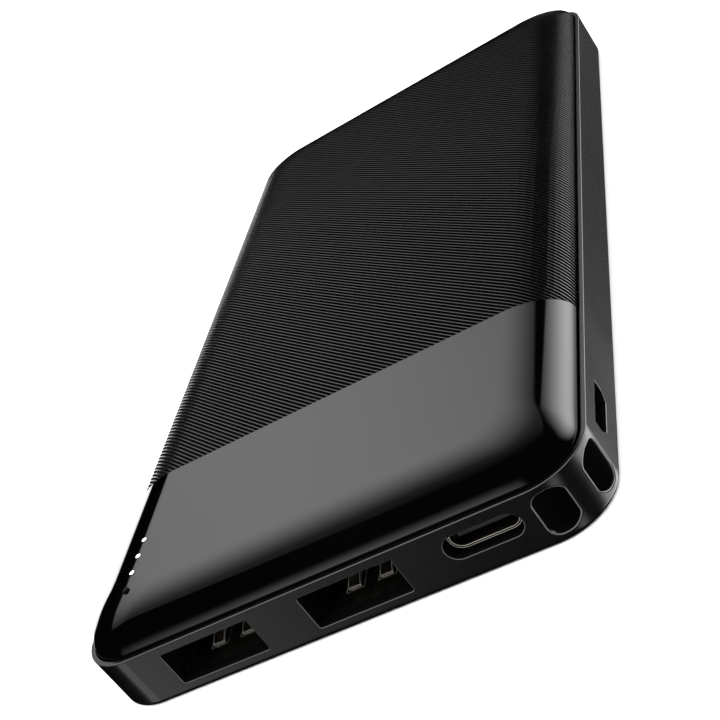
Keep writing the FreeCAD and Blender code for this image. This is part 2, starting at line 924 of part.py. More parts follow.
def make_pcb_screws():
    screws = []
    for index, (x, y) in enumerate(SCREW_SITES):
        head = rod(f"head_{index}", x, y, board_top(), d.screw_head_radius, d.screw_head_height)
        shank_bottom = board_top() - d.screw_length
        shank = rod(f"shank_{index}", x, y, shank_bottom, d.screw_shank_radius, d.screw_length)
        recess_bottom = board_top() + d.screw_head_height - d.screw_recess_depth
        arms = []
        for width, length in (
            (d.screw_recess_length, d.screw_recess_width),
            (d.screw_recess_width, d.screw_recess_length),
        ):
            arms.append(
                box(f"recess_{index}", x, y, recess_bottom, width, length, d.screw_recess_depth)
            )
        whole = joined(f"screw_blank_{index}", [head, shank])
        screws.append(cut(f"screw_{index}", whole, joined(f"cross_{index}", arms)))
    return group("pcb_screws", screws)


# ---------------------------------------------------------------- full-size sockets
# Each socket is drawn about the middle of its mouth, opening towards -Y.

def socket_tube(body, outline, inner_outline, length):
    pad(body, outline, length, reverse=True)
    pocket(body, inner_outline, length)


def make_usb_a_shell(label, x):
    shell = new_body(label)
    outer = draw_rounded_rectangle(
        front_sketch(shell, 0, 0, 0), d.usb_a_width, d.usb_a_height, d.usb_a_corner
    )
    sheet_pair = d.usb_a_sheet * 2
    inner = draw_rounded_rectangle(
        front_sketch(shell, 0, 0, 0),
        d.usb_a_width - sheet_pair,
        d.usb_a_height - sheet_pair,
        d.usb_a_corner - d.usb_a_sheet,
    )
    socket_tube(shell, outer, inner, d.usb_a_length)
    add_usb_a_springs(shell)
    add_usb_a_tabs(shell)
    return move(shell, x, socket_front(), d.usb_a_z)


def spring_profile(face, bulge):
    """Side view of a grip spring: it leaves the sheet at the back and bulges into the mouth."""
    outer = d.usb_a_height / 2 * face
    inner = outer - d.usb_a_sheet * face
    crest = inner - bulge * face
    tip = inner - bulge * (0.35 * face)
    back = d.usb_a_window_front + d.usb_a_window_length
    thick = d.usb_a_sheet * face
    return (
        (back, outer),
        (d.usb_a_spring_crest, crest + thick),
        (d.usb_a_spring_tip, tip + thick),
        (d.usb_a_spring_tip, tip),
        (d.usb_a_spring_crest, crest),
        (back, inner),
    )


def add_usb_a_springs(shell):
    """Grip springs cut out of the top and bottom sheets and joined at their back."""
    middle = d.usb_a_window_front + d.usb_a_window_length / 2
    for side in (-1, 1):
        for face, bulge in ((-1, d.usb_a_spring_bulge), (1, d.usb_a_spring_upper_bulge)):
            place = d.usb_a_window_x * side
            level = d.usb_a_height / 2 if face > 0 else d.usb_a_sheet - d.usb_a_height / 2
            hole = plan_sketch(shell, place, middle, level)
            draw_rectangle(hole, d.usb_a_window_width, d.usb_a_window_length)
            pocket(shell, hole, d.usb_a_sheet)
            leaf = draw_polygon(side_sketch(shell, 0, 0, place), spring_profile(face, bulge))
            pad_both_ways(shell, leaf, d.usb_a_spring_width)


def add_usb_a_tabs(shell):
    """Side tabs that rest on the board beside its slot."""
    reach = d.usb_a_tab_width + d.usb_a_sheet / 2
    level = board_top() - d.usb_a_z
    for side in (-1, 1):
        centre_x = (d.usb_a_width / 2 + d.usb_a_tab_width / 2 - d.usb_a_sheet / 4) * side
        for step in (0, 1):
            centre_y = d.usb_a_tab_first + d.usb_a_tab_pitch * step
            sketch = plan_sketch(shell, centre_x, centre_y, level)
            draw_rectangle(sketch, reach, d.usb_a_tab_length)
            pad(shell, sketch, d.usb_a_sheet)


def contact_strip(label, x, profile, width):
    """A bent contact: its side profile drawn in the YZ plane and given a width."""
    contact = new_body(label)
    sketch = draw_polygon(side_sketch(contact, 0, 0, 0), profile)
    pad_both_ways(contact, sketch, width)
    return move(contact, x, 0, 0)


def bent_profile(front, back, top, foot_back, foot_bottom, thickness):
    """A strip along the tongue, a drop behind the block and a foot on the board."""
    return (
        (front, top - thickness),
        (back - thickness, top - thickness),
        (back - thickness, foot_bottom),
        (foot_back, foot_bottom),
        (foot_back, foot_bottom + thickness),
        (back, foot_bottom + thickness),
        (back, top),
        (front, top),
    )


def make_usb_a_inside(label_end, x):
    """The plastic tongue and the four contacts that lie in it."""
    foot = board_top() - d.usb_a_z
    profile = bent_profile(
        d.usb_a_contact_front,
        d.usb_a_length + d.usb_a_contact_thickness * 2,
        d.usb_a_tongue_bottom + d.usb_a_contact_thickness / 2,
        d.usb_a_foot_back,
        foot,
        d.usb_a_contact_thickness,
    )
    inner, outer = d.usb_a_contact_inner, d.usb_a_contact_outer
    places = (-outer, -inner, inner, outer)
    strips = []
    for index, place in enumerate(places):
        name = f"contact_{label_end}_{index}"
        strips.append(contact_strip(name, place, profile, d.usb_a_contact_width))
    contacts = group("usb_a_contacts_" + label_end, strips)
    block_length = d.usb_a_block_back - d.usb_a_block_front
    block = box(
        "tongue_block",
        0,
        d.usb_a_block_front + block_length / 2,
        d.usb_a_sheet - d.usb_a_height / 2,
        d.usb_a_width - d.usb_a_sheet * 4,
        block_length,
        d.usb_a_height - d.usb_a_sheet * 2,
    )
    plate_length = d.usb_a_block_front - d.usb_a_tongue_front
    plate = box(
        "tongue_plate",
        0,
        d.usb_a_tongue_front + plate_length / 2,
        d.usb_a_tongue_bottom,
        d.usb_a_tongue_width,
        plate_length,
        d.usb_a_tongue_thickness,
    )
    whole = joined("tongue_" + label_end, [block, plate])
    tongue = cut("usb_a_tongue_" + label_end, whole, group("slots_" + label_end, strips))
    for item in (contacts, tongue):
        move(item, x, socket_front(), d.usb_a_z)
    return contacts, tongue


# ---------------------------------------------------------------- reversible socket

def make_usb_c_shell():
    shell = new_body("usb_c_shell")
    outer = draw_stadium(front_sketch(shell, 0, 0, 0), d.usb_c_width, d.usb_c_height)
    pair = d.usb_c_sheet * 2
    inner = draw_stadium(front_sketch(shell, 0, 0, 0), d.usb_c_width - pair, d.usb_c_height - pair)
    socket_tube(shell, outer, inner, d.usb_c_length)
    for side in (-1, 1):
        for step in (0, 1):
            centre_x = (d.usb_c_leg_x + d.usb_c_leg_thickness / 2) * side
            centre_y = d.usb_c_leg_first + d.usb_c_leg_pitch * step + d.usb_c_leg_length / 2
            sketch = plan_sketch(shell, centre_x, centre_y, -(d.usb_c_height / 2))
            draw_rectangle(sketch, d.usb_c_leg_thickness, d.usb_c_leg_length)
            pad(shell, sketch, d.usb_c_height / 2)
    return move(shell, d.usb_c_x, socket_front(), d.usb_c_z)


def make_usb_c_inside():
    half = d.usb_c_tongue_thickness / 2
    thin = d.usb_c_contact_thickness
    lower = bent_profile(
        d.usb_c_contact_front,
        d.usb_c_length + thin * 2,
        -half,
        d.usb_c_foot_back,
        -(d.usb_c_height / 2),
        thin,
    )
    upper = (
        (d.usb_c_contact_front, half),
        (d.usb_c_length - thin * 4, half),
        (d.usb_c_length - thin * 4, half + thin),
        (d.usb_c_contact_front, half + thin),
    )
    strips = []
    for index in range(12):
        place = d.usb_c_contact_pitch * (index - 5.5)
        for row, profile in (("lower", lower), ("upper", upper)):
            name = f"usb_c_{row}_{index}"
            strips.append(contact_strip(name, place, profile, d.usb_c_contact_width))
    contacts = group("usb_c_contacts", strips)
    inside = new_body("usb_c_inside")
    pair = d.usb_c_sheet * 2
    block = draw_stadium(
        front_sketch(inside, 0, 0, d.usb_c_block_front), d.usb_c_width - pair, d.usb_c_height - pair
    )
    pad(inside, block, d.usb_c_length - d.usb_c_block_front, reverse=True)
    plate = draw_rectangle(
        front_sketch(inside, 0, 0, d.usb_c_tongue_front), d.usb_c_tongue_width, half * 2
    )
    pad(inside, plate, d.usb_c_block_front - d.usb_c_tongue_front, reverse=True)
    tongue = cut("usb_c_tongue", inside, group("usb_c_slots", strips))
    for item in (contacts, tongue):
        move(item, d.usb_c_x, socket_front(), d.usb_c_z)
    return contacts, tongue


# ---------------------------------------------------------------- small input socket

def micro_place(item):
    """Turns the socket so that its mouth looks out of the right-hand wall."""
    face = d.case_width / 2 - d.wall - d.socket_setback
    return move(item, face, d.micro_y, board_top() + d.micro_height / 2, turn=90.0)


def make_micro_shell():
    shell = new_body("micro_usb_shell")
    outer = draw_hood(
        front_sketch(shell, 0, 0, 0), d.micro_width, d.micro_height, d.micro_side, d.micro_base
    )
    pair = d.micro_sheet * 2
    inner = draw_hood(
        front_sketch(shell, 0, 0, 0),
        d.micro_width - pair,
        d.micro_height - pair,
        d.micro_side - d.micro_sheet,
        d.micro_base - d.micro_sheet,
    )
    socket_tube(shell, outer, inner, d.micro_length)
    return micro_place(shell)


def make_micro_inside():
    thin = d.micro_contact_thickness
    floor = -(d.micro_height / 2)
    profile = bent_profile(
        d.micro_contact_front,
        d.micro_length + thin * 2,
        d.micro_tongue_bottom + thin / 2,
        d.micro_foot_back,
        floor,
        thin,
    )
    strips = []
    for index in range(5):
        place = d.micro_contact_pitch * (index - 2)
        strips.append(contact_strip(f"micro_{index}", place, profile, d.micro_contact_width))
    contacts = group("micro_usb_contacts", strips)
    block_length = d.micro_length - d.micro_block_front
    block = box(
        "micro_block",
        0,
        d.micro_block_front + block_length / 2,
        floor + d.micro_sheet,
        d.micro_block_width - d.micro_sheet * 2,
        block_length,
        d.micro_height - d.micro_sheet * 2,
    )
    plate_length = d.micro_block_front - d.micro_tongue_front
    plate = box(
        "micro_plate",
        0,
        d.micro_tongue_front + plate_length / 2,
        d.micro_tongue_bottom,
        d.micro_tongue_width,
        plate_length,
        d.micro_tongue_thickness,
    )
    whole = joined("micro_plastic", [block, plate])
    tongue = cut("micro_usb_tongue", whole, group("micro_slots", strips))
    return micro_place(contacts), micro_place(tongue)


# ---------------------------------------------------------------- charge lights

def light_y(index):
    return d.light_first_y + d.light_pitch * index


def light_middle_y():
    return d.light_first_y + d.light_pitch * ((LIGHT_COUNT - 1) / 2)


def light_row_length():
    return d.light_pitch * (LIGHT_COUNT - 1) + d.light_bar_width


def make_status_leds():
    chips = []
    for index in range(LIGHT_COUNT):
        chips.append(
            box(
                f"light_chip_{index}",
                d.light_x,
                light_y(index),
                board_top(),
                d.light_chip_width,
                d.light_chip_length,
                d.light_chip_height,
            )
        )
    return group("status_leds", chips)


def make_light_guide():
    """Four clear pipes that reach the cover, moulded on one bar."""
    bar = box(
        "guide_bar",
        d.light_x,
        light_middle_y(),
        board_top() + d.shield_height - d.light_bar_height,
        d.light_bar_width,
        light_row_length(),
        d.light_bar_height,
    )
    pieces = [bar]
    pipe_height = d.case_thickness - d.light_pipe_bottom - 0.02
    for index in range(LIGHT_COUNT):
        name = f"guide_pipe_{index}"
        pipe = rod(
            name, d.light_x, light_y(index), d.light_pipe_bottom, d.light_pipe_radius, pipe_height
        )
        pieces.append(pipe)
    return joined("light_guide", pieces)


def make_light_shield():
    """A black tube around each light so that neighbours do not mix."""
    row = light_row_length() + d.shield_wall * 2
    block = box(
        "shield_block",
        d.light_x,
        light_middle_y(),
        board_top(),
        d.shield_width,
        row,
        d.shield_height,
    )
    bar_bottom = board_top() + d.shield_height - d.light_bar_height
    hollows = [
        box(
            "shield_channel",
            d.light_x,
            light_middle_y(),
            bar_bottom,
            d.light_bar_width,
            light_row_length(),
            d.light_bar_height,
        )
    ]
    for index in range(LIGHT_COUNT):
        hollows.append(
            box(
                f"shield_well_{index}",
                d.light_x,
                light_y(index),
                board_top(),
                d.light_bar_width,
                d.light_chip_length + d.light_chip_width,
                d.shield_height,
            )
        )
    return cut("light_shield", block, joined("shield_hollows", hollows))


# ---------------------------------------------------------------- board components

def make_power_inductor():
    core = new_body("inductor_body")
    outline = plan_sketch(core, 0, 0, d.coil_pad)
    draw_rounded_rectangle(outline, d.coil_size, d.coil_size, d.coil_corner)
    block = pad(core, outline, d.coil_height - d.coil_pad)
    top = d.coil_height.value
    fillet(core, block, d.coil_pad * 2, lambda bounds: bounds.ZMin > top - 0.001)
    core.Label = "power_inductor"
    return move(core, -14.0, -47.2, board_top())


def make_inductor_terminals():
    pads = []
    for side in (-1, 1):
        centre = Size(-14.0) + (d.coil_size * 0.5 - d.coil_corner) * side
        pads.append(
            box(f"coil_pad_{side}", centre, -47.2, board_top(), d.coil_corner, d.coil_size * 0.5, d.coil_pad)
        )
    return group("inductor_terminals", pads)


def chips(label, places, width, length, height):
    """Equal rectangular components on the board; each place is x, y and quarter turned or not."""
    pieces = []
    for index, (x, y, turned) in enumerate(places):
        across, along = (length, width) if turned else (width, length)
        pieces.append(box(f"{label}_{index}", x, y, board_top(), across, along, height))
    return group(label, pieces)


def make_bulk_capacitors():
    cans = []
    for index, x in enumerate((-23.5, 18.5, 24.5)):
        base = box(
            f"can_base_{index}", x, -46.6, board_top(), d.can_base, d.can_base, d.can_base_height
        )
        can = rod(f"can_{index}", x, -46.6, board_top(), d.can_radius, d.can_height)
        cans.append(joined(f"capacitor_{index}", [base, can]))
    return group("bulk_capacitors", cans)


def make_protection_mosfets():
    """Two flat eight-pin packages."""
    pieces = []
    for index, x in enumerate((6.5, 12.3)):
        parts = [
            box(
                f"fet_{index}",
                x,
                -46.2,
                board_top() + d.fet_pin_thickness / 2,
                d.fet_length,
                d.fet_width,
                d.fet_height,
            )
        ]
        for pin in range(4):
            offset = (pin - 1.5) * 0.65
            parts.append(
                box(
                    f"fet_pin_{index}_{pin}",
                    x + offset,
                    -46.2,
                    board_top(),
                    d.fet_pin_width,
                    d.fet_width + d.fet_pin_length * 2,
                    d.fet_pin_thickness,
                )
            )
        pieces.append(joined(f"fet_whole_{index}", parts))
    return group("protection_mosfets", pieces)


def make_board_components():
    items = [
        make_power_inductor(),
        make_inductor_terminals(),
        make_bulk_capacitors(),
        make_protection_mosfets(),
    ]
    items.append(
        chips(
            "charge_controller_ic",
            ((-3.0, -47.0, False),),
            d.controller_size,
            d.controller_size,
            d.controller_height,
        )
    )
    items.append(
        chips(
            "cell_protection_ic",
            ((15.6, -52.0, False),),
            d.monitor_length,
            d.monitor_width,
            d.monitor_height,
        )
    )
    big = [(-7.4, -47.6, False), (-7.4, -50.2, False), (-5.0, -54.5, False), (2.7, -49.0, False)]
    big += [(20.6, -53.5, True), (23.6, -53.5, True), (13.2, -62.5, False), (13.2, -65.0, False)]
    items.append(
        chips("ceramic_capacitors", big, d.big_chip_width, d.big_chip_length, d.big_chip_height)
    )
    small = [(-5.6 + 1.3 * n, -43.0, True) for n in range(5)]
    small += [(-30.4 + 1.6 * n, -48.6, False) for n in range(3)]
    small += [(14.0 + 1.4 * n, -54.2, False) for n in range(3)]
    small += [(28.6, -47.9 - 1.3 * n, True) for n in range(2)]
    items.append(
        chips("chip_resistors", small, d.small_chip_width, d.small_chip_length, d.small_chip_height)
    )
    return items


# ---------------------------------------------------------------- cells and wiring

def lower_cell_bottom():
    return d.floor + d.tape_thickness


def upper_cell_bottom():
    return lower_cell_bottom() + d.cell_thickness + d.tape_thickness


def stack_top():
    return upper_cell_bottom() + d.cell_thickness


def make_cell(label, bottom):
    """A foil pouch with rounded edges and a flat sealed terrace towards the board."""
    cell = new_body(label)
    middle = d.cell_front + d.cell_length / 2
    outline = plan_sketch(cell, 0, middle, 0)
    draw_rounded_rectangle(outline, d.cell_width, d.cell_length, d.cell_corner)
    block = pad(cell, outline, d.cell_thickness)
    top = d.cell_thickness.value
    flat = lambda bounds: bounds.ZLength < 0.001 and (bounds.ZMax < 0.001 or bounds.ZMin > top - 0.001)
    fillet(cell, block, d.cell_round, flat)
    front = d.cell_front - d.terrace_length / 2
    level = (d.cell_thickness - d.terrace_thickness) / 2
    sketch = plan_sketch(cell, 0, front + 0.5, level)
    draw_rectangle(sketch, d.terrace_width, d.terrace_length + 1.0)
    pad(cell, sketch, d.terrace_thickness)
    return move(cell, 0, 0, bottom)


def tab_level(bottom):
    return bottom + (d.cell_thickness - d.tab_thickness) / 2


def tab_end():
    return d.cell_front - d.terrace_length - d.tab_length


def make_cell_tabs(label, side):
    """Both cells' tabs of one polarity and the strip that joins them."""
    pieces = []
    middle = d.cell_front - d.terrace_length - d.tab_length / 2
    for name, bottom in (("lower", lower_cell_bottom()), ("upper", upper_cell_bottom())):
        pieces.append(
            box(
                f"{label}_{name}",
                d.tab_x * side,
                middle,
                tab_level(bottom),
                d.tab_width,
                d.tab_length,
                d.tab_thickness,
            )
        )
    low = tab_level(lower_cell_bottom())
    high = tab_level(upper_cell_bottom()) + d.tab_thickness
    pieces.append(
        box(
            f"{label}_link",
            d.tab_x * side,
            tab_end() - d.tab_link_thickness / 2,
            low,
            d.tab_width,
            d.tab_link_thickness,
            high - low,
        )
    )
    return joined(label, pieces)


def make_insulation_tape():
    """Film laid over the upper cell's terrace and tabs."""
    length = d.terrace_length + d.tab_length
    return box(
        "tab_insulation_tape",
        0,
        d.cell_front - length / 2,
        tab_level(upper_cell_bottom()) + d.tab_thickness / 2 + d.terrace_thickness / 2,
        d.terrace_width * 0.6,
        length,
        d.insulation_thickness,
    )


def make_tape(label, bottom, width_share):
    middle = d.cell_front + d.cell_length / 2
    width = (d.cell_width - d.cell_round * 4) * width_share
    length = d.cell_length - d.cell_round * 4
    return box(label, 0, middle, bottom, width, length, d.tape_thickness)


def make_foam_pad():
    return box(
        "cell_foam_pad",
        0,
        d.foam_centre_y,
        stack_top(),
        d.foam_width,
        d.foam_length,
        d.foam_thickness,
    )


def make_lead(label, side):
    """A short insulated wire from the tab link down to its pad on the board."""
    lead = new_body(label)
    start_y = tab_end() - d.tab_link_thickness
    height = tab_level(upper_cell_bottom()) - board_top() - d.lead_radius
    run = start_y - d.lead_end_y
    path = lead.newObject("Sketcher::SketchObject", "Path")
    plane = [item for item in lead.Origin.OriginFeatures if item.Role == "YZ_Plane"][0]
    path.AttachmentSupport = [(plane, "")]
    path.MapMode = "FlatFace"
    bend = d.lead_bend.value
    start = VECTOR(0, 0, 0)
    turn = VECTOR(-(run.value - bend), 0, 0)
    drop = VECTOR(-run.value, -bend, 0)
    end = VECTOR(-run.value, -height.value, 0)
    level = path.addGeometry(Part.LineSegment(start, turn))
    circle = Part.Circle(VECTOR(turn.x, -bend, 0), VECTOR(0, 0, 1), bend)
    curve = path.addGeometry(Part.ArcOfCircle(circle, math.pi / 2, math.pi))
    upright = path.addGeometry(Part.LineSegment(drop, end))
    path.addConstraint(Sketcher.Constraint("Coincident", level, 1, -1, 1))
    path.addConstraint(Sketcher.Constraint("Tangent", level, 2, curve, 1))
    path.addConstraint(Sketcher.Constraint("Tangent", curve, 2, upright, 1))
    path.addConstraint(Sketcher.Constraint("Horizontal", level))
    path.addConstraint(Sketcher.Constraint("Vertical", upright))
    fix(path, "Radius", d.lead_bend, curve)
    fix(path, "DistanceX", -run, -1, 1, upright, 2)
    fix(path, "DistanceY", -height, -1, 1, upright, 2)
    profile = draw_circle(front_sketch(lead, 0, 0, 0), d.lead_radius)
    pipe = lead.newObject("PartDesign::AdditivePipe", "Pipe")
    pipe.Profile = profile
    pipe.Spine = path
    return move(lead, d.tab_x * side, start_y, board_top() + height)


# ---------------------------------------------------------------- assembly

def make_all():
    parts = [make_bottom_shell(), make_top_cover(), make_power_button()]
    parts += [make_switch_housing(), make_switch_plunger(), make_switch_frame()]
    parts += [make_main_pcb(), make_pcb_screws()]
    for end, x in (("left", d.usb_a_left_x), ("right", d.usb_a_right_x)):
        parts.append(make_usb_a_shell("usb_a_shell_" + end, x))
        parts.extend(make_usb_a_inside(end, x))
    parts.append(make_usb_c_shell())
    parts.extend(make_usb_c_inside())
    parts.append(make_micro_shell())
    parts.extend(make_micro_inside())
    parts += [make_status_leds(), make_light_guide(), make_light_shield()]
    parts += make_board_components()
    parts.append(make_cell("lower_cell", lower_cell_bottom()))
    parts.append(make_cell("upper_cell", upper_cell_bottom()))
    parts.append(make_tape("cell_base_tape", d.floor, 0.5))
    parts.append(make_tape("cell_joining_tape", lower_cell_bottom() + d.cell_thickness, 0.8))
    parts.append(make_foam_pad())
    parts.append(make_cell_tabs("cell_tabs_positive", 1))
    parts.append(make_cell_tabs("cell_tabs_negative", -1))
    parts.append(make_insulation_tape())
    parts.append(make_lead("battery_lead_positive", 1))
    parts.append(make_lead("battery_lead_negative", -1))
    return parts


def check_document():
    for item in document.Objects:
        if "Invalid" in item.State or "Error" in item.State:
            raise ValueError(f"{item.Label} did not compute: {item.State}")


def write_parts(parts):
    os.makedirs("parts", exist_ok=True)
    for part in parts:
        shape = part.Shape
        if shape.isNull() or not shape.isValid():
            raise ValueError(part.Label + " has no valid shape")
        shape.exportStep(f"parts/{part.Label}.step")
        print(f"{part.Label}: {len(shape.Solids)} solid(s), {shape.Volume:.1f} mm3")


fill_sheet()
assembly = make_all()
document.recompute()
check_document()
write_parts(assembly)
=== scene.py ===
"""Looks of the power bank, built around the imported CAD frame.

The case and everything inside it are the CAD pieces with finished materials. The cover is
rebuilt here with its slanting ridges, its gloss end and its charge lights.
"""
import json
import math

import bpy
import numpy as np
from mathutils import Matrix, Quaternion, Vector


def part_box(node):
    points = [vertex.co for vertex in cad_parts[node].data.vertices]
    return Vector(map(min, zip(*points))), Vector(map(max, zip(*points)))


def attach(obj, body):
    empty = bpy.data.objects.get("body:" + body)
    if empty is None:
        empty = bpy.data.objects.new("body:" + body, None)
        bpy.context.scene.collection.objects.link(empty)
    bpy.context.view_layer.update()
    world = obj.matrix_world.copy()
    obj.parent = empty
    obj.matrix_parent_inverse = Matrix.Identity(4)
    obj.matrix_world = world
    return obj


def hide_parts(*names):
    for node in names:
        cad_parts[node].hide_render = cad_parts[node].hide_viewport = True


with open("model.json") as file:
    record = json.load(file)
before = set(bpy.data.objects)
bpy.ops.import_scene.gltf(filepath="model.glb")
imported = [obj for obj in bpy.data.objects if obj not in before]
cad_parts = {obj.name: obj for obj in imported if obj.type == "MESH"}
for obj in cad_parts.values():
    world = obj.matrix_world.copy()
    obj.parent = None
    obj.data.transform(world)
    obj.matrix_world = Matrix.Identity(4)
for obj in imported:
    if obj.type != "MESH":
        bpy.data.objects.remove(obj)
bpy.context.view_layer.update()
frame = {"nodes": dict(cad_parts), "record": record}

MM = 0.001
ROOT2 = math.sqrt(2.0)


def measured(node):
    """Lowest and highest corner of a CAD piece, in millimetres."""
    low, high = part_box(node)
    return [value / MM for value in low], [value / MM for value in high]


# Cover, in millimetres in the frame of the CAD. Its rounding runs in and up from the seam with
# the case to the flat top, and the corner radius of its outline changes on the way.
HALF_X, HALF_Y, TOP_Z = measured("top_cover")[1]
SHELL_X, SHELL_Y, SEAM_Z = measured("bottom_shell")[1]
SKIRT_Z = SEAM_Z - 0.6
ROUND_RUN, ROUND_RISE = 8.0, TOP_Z - SEAM_Z
SEAM_CORNER, FLAT_CORNER = 6.55, 5.0

# Gloss end: where it meets the ridges, and how finely it is divided.
BORDER_Y = -37.2
ROUND_STEPS = 26
CORNER_POINTS, SIDE_POINTS, END_POINTS = 14, 16, 24

# Ridges: straight lines at 45 degrees across the cover. The profile gives shares of the pitch
# and of the groove depth. The margins keep the rows clear of the ends of the field.
RIDGE_PITCH = 0.55
GROOVE_DEPTH = 0.25
RIDGE_PROFILE = ((0.0, 0.12), (0.04, 0.0), (0.26, 0.0), (0.3, 0.12), (0.53, 1.0), (0.8, 1.0))
GROOVE_WALL_DEPTH = 0.5
RIDGE_COLUMNS = 48
ROW_MARGIN, SIDE_MARGIN, BORDER_MARGIN, FAR_MARGIN = 0.02, 0.3, 0.05, 2.2
BORDER_TEETH = 0.4

# Halvings of the two searches on the outline, and the step of its slope.
INSET_HALVINGS, REACH_HALVINGS = 36, 44
LONGEST_REACH = 260.0
SLOPE_STEP = 0.02

# Metal shells of the two wide ports. Only edges further in than their front rims get painted highlights.
PORT_SHELLS = [n for n in frame["nodes"] if n.startswith("usb_a_shell")]
PORT_FRONT = min(measured(n)[0][1] for n in PORT_SHELLS)
PORT_RIM = 0.8

# Case wall, in metres: the radius of its corners, their centres, how far in its rounded edges
# reach, and the heights between which its upper edge begins and below which its foot has no painted
# highlight.
CORNER_REACH = 0.0074
CORNER_CENTRE = (SHELL_X * MM - CORNER_REACH, SHELL_Y * MM - CORNER_REACH)
EDGE_IN = (0.0004, 0.0003)
RIM_UP = ((SEAM_Z - 0.3) * MM, (SEAM_Z - 0.2) * MM)
FOOT_UP = (0.0009, 0.001)

# Charge lights: the light guide of the CAD gives their place. Each lens has rings at these
# shares of its radius, and the outermost ring is a black rim.
LIGHT_COUNT = 4
GUIDE_LOW, GUIDE_HIGH = measured("light_guide")
LIGHT_RADIUS, LIGHT_PITCH = 0.46, 3.1
LIGHT_X = (GUIDE_LOW[0] + GUIDE_HIGH[0]) / 2
LIGHT_FIRST_Y = (GUIDE_LOW[1] + GUIDE_HIGH[1]) / 2 - (LIGHT_COUNT - 1) / 2 * LIGHT_PITCH
GUIDE_TOP = GUIDE_HIGH[2]
LENS_RINGS = (1.0, 0.74, 0.5, 0.25)
LENS_TURNS = 24
LENS_LIFT, LENS_DOME, LENS_SKIRT = 0.03, 0.05, 0.2

# Studio, in metres and degrees.
CARD_DISTANCE = 3.0
FLOOR_REACH = 6.0
CAMERA_PLACE = (0.0761, -0.18386, 0.08707)
CAMERA_AZIMUTH, CAMERA_ELEVATION, CAMERA_ROLL = 25.37, 24.06, 37.0
CAMERA_LENS = 70.92

MATERIALS = {}


# ---------------------------------------------------------------- cover surface

def bisect(outside, low, high, halvings):
    """Closes in on where outside(value) turns true between low and high, for many points."""
    for _ in range(halvings):
        middle = (low + high) / 2
        past = outside(middle)
        high = np.where(past, middle, high)
        low = np.where(past, low, middle)
    return low, high


def corner_radius(inset):
    return SEAM_CORNER + (FLAT_CORNER - SEAM_CORNER) * inset / ROUND_RUN


def inset_of(x, y):
    """How far in from the seam outline the nested outline through each point lies."""
    def outside(inset):
        radius = corner_radius(inset)
        over_x = np.abs(x) - (HALF_X - inset - radius)
        over_y = np.abs(y) - (HALF_Y - inset - radius)
        corner = np.hypot(np.maximum(over_x, 0), np.maximum(over_y, 0))
        in_corner = (over_x > 0) & (over_y > 0)
        return np.where(in_corner, corner, np.maximum(over_x, over_y)) > radius

    low, high = bisect(outside, np.zeros_like(x), np.full_like(x, ROUND_RUN), INSET_HALVINGS)
    return (low + high) / 2


def surface(x, y):
    """Height of the smooth cover."""
    lean = 1.0 - np.clip(inset_of(x, y), 0, ROUND_RUN) / ROUND_RUN
    return SEAM_Z + ROUND_RISE * np.sqrt(np.clip(1.0 - lean**2, 0, 1))


def surface_normal(x, y):
    """Unit normals of the smooth cover, steep towards the seam."""
    lean = np.clip(1.0 - inset_of(x, y) / ROUND_RUN, 0, 1)
    tilt = np.arctan2(lean * ROUND_RISE, np.sqrt(1 - lean**2) * ROUND_RUN)
    slope_x = inset_of(x + SLOPE_STEP, y) - inset_of(x - SLOPE_STEP, y)
    slope_y = inset_of(x, y + SLOPE_STEP) - inset_of(x, y - SLOPE_STEP)
    length = np.hypot(slope_x, slope_y)
    length = np.where(length < 1e-9, 1.0, length)
    out_x, out_y = -slope_x / length, -slope_y / length
    return np.stack([out_x * np.sin(tilt), out_y * np.sin(tilt), np.cos(tilt)], -1)


def seam_reach(x, y, dx, dy):
    """Distance from points inside the seam outline to it, along a direction."""
    def outside(distance):
        px, py = x + dx * distance, y + dy * distance
        over_x = np.abs(px) - (HALF_X - SEAM_CORNER)
        over_y = np.abs(py) - (HALF_Y - SEAM_CORNER)
        corner = np.hypot(np.maximum(over_x, 0), np.maximum(over_y, 0)) > SEAM_CORNER
        return (np.abs(px) > HALF_X) | (np.abs(py) > HALF_Y) | corner

    return bisect(outside, np.zeros_like(x), np.full_like(x, LONGEST_REACH), REACH_HALVINGS)[0]


# ---------------------------------------------------------------- cover meshes

def mesh_object(name, points, faces, smooth=True):
    """An object in the scene from points in millimetres."""
    mesh = bpy.data.meshes.new(name)
    mesh.from_pydata([tuple(float(c) * MM for c in p) for p in points], [], faces)
    mesh.validate()
    mesh.polygons.foreach_set("use_smooth", [smooth] * len(mesh.polygons))
    mesh.update()
    item = bpy.data.objects.new(name, mesh)
    bpy.context.scene.collection.objects.link(item)
    return item


def ink(item, materials, slots):
    """Gives an object several materials, and each of its faces one of them."""
    for made in materials:
        item.data.materials.append(made)
    item.data.polygons.foreach_set("material_index", slots)


def grid_faces(rows, columns):
    faces = []
    for row in range(rows - 1):
        here = row * columns
        ahead = here + columns
        for column in range(columns - 1):
            faces.append((here + column, here + column + 1, ahead + column + 1, ahead + column))
    return faces


def corner_arc(centre_x, centre_y, radius, start):
    """Points of a quarter circle from an angle onwards, without the first."""
    points = []
    for angle in np.linspace(start, start + 90, CORNER_POINTS)[1:]:
        turn = math.radians(angle)
        points.append((centre_x + radius * math.cos(turn), centre_y + radius * math.sin(turn)))
    return points


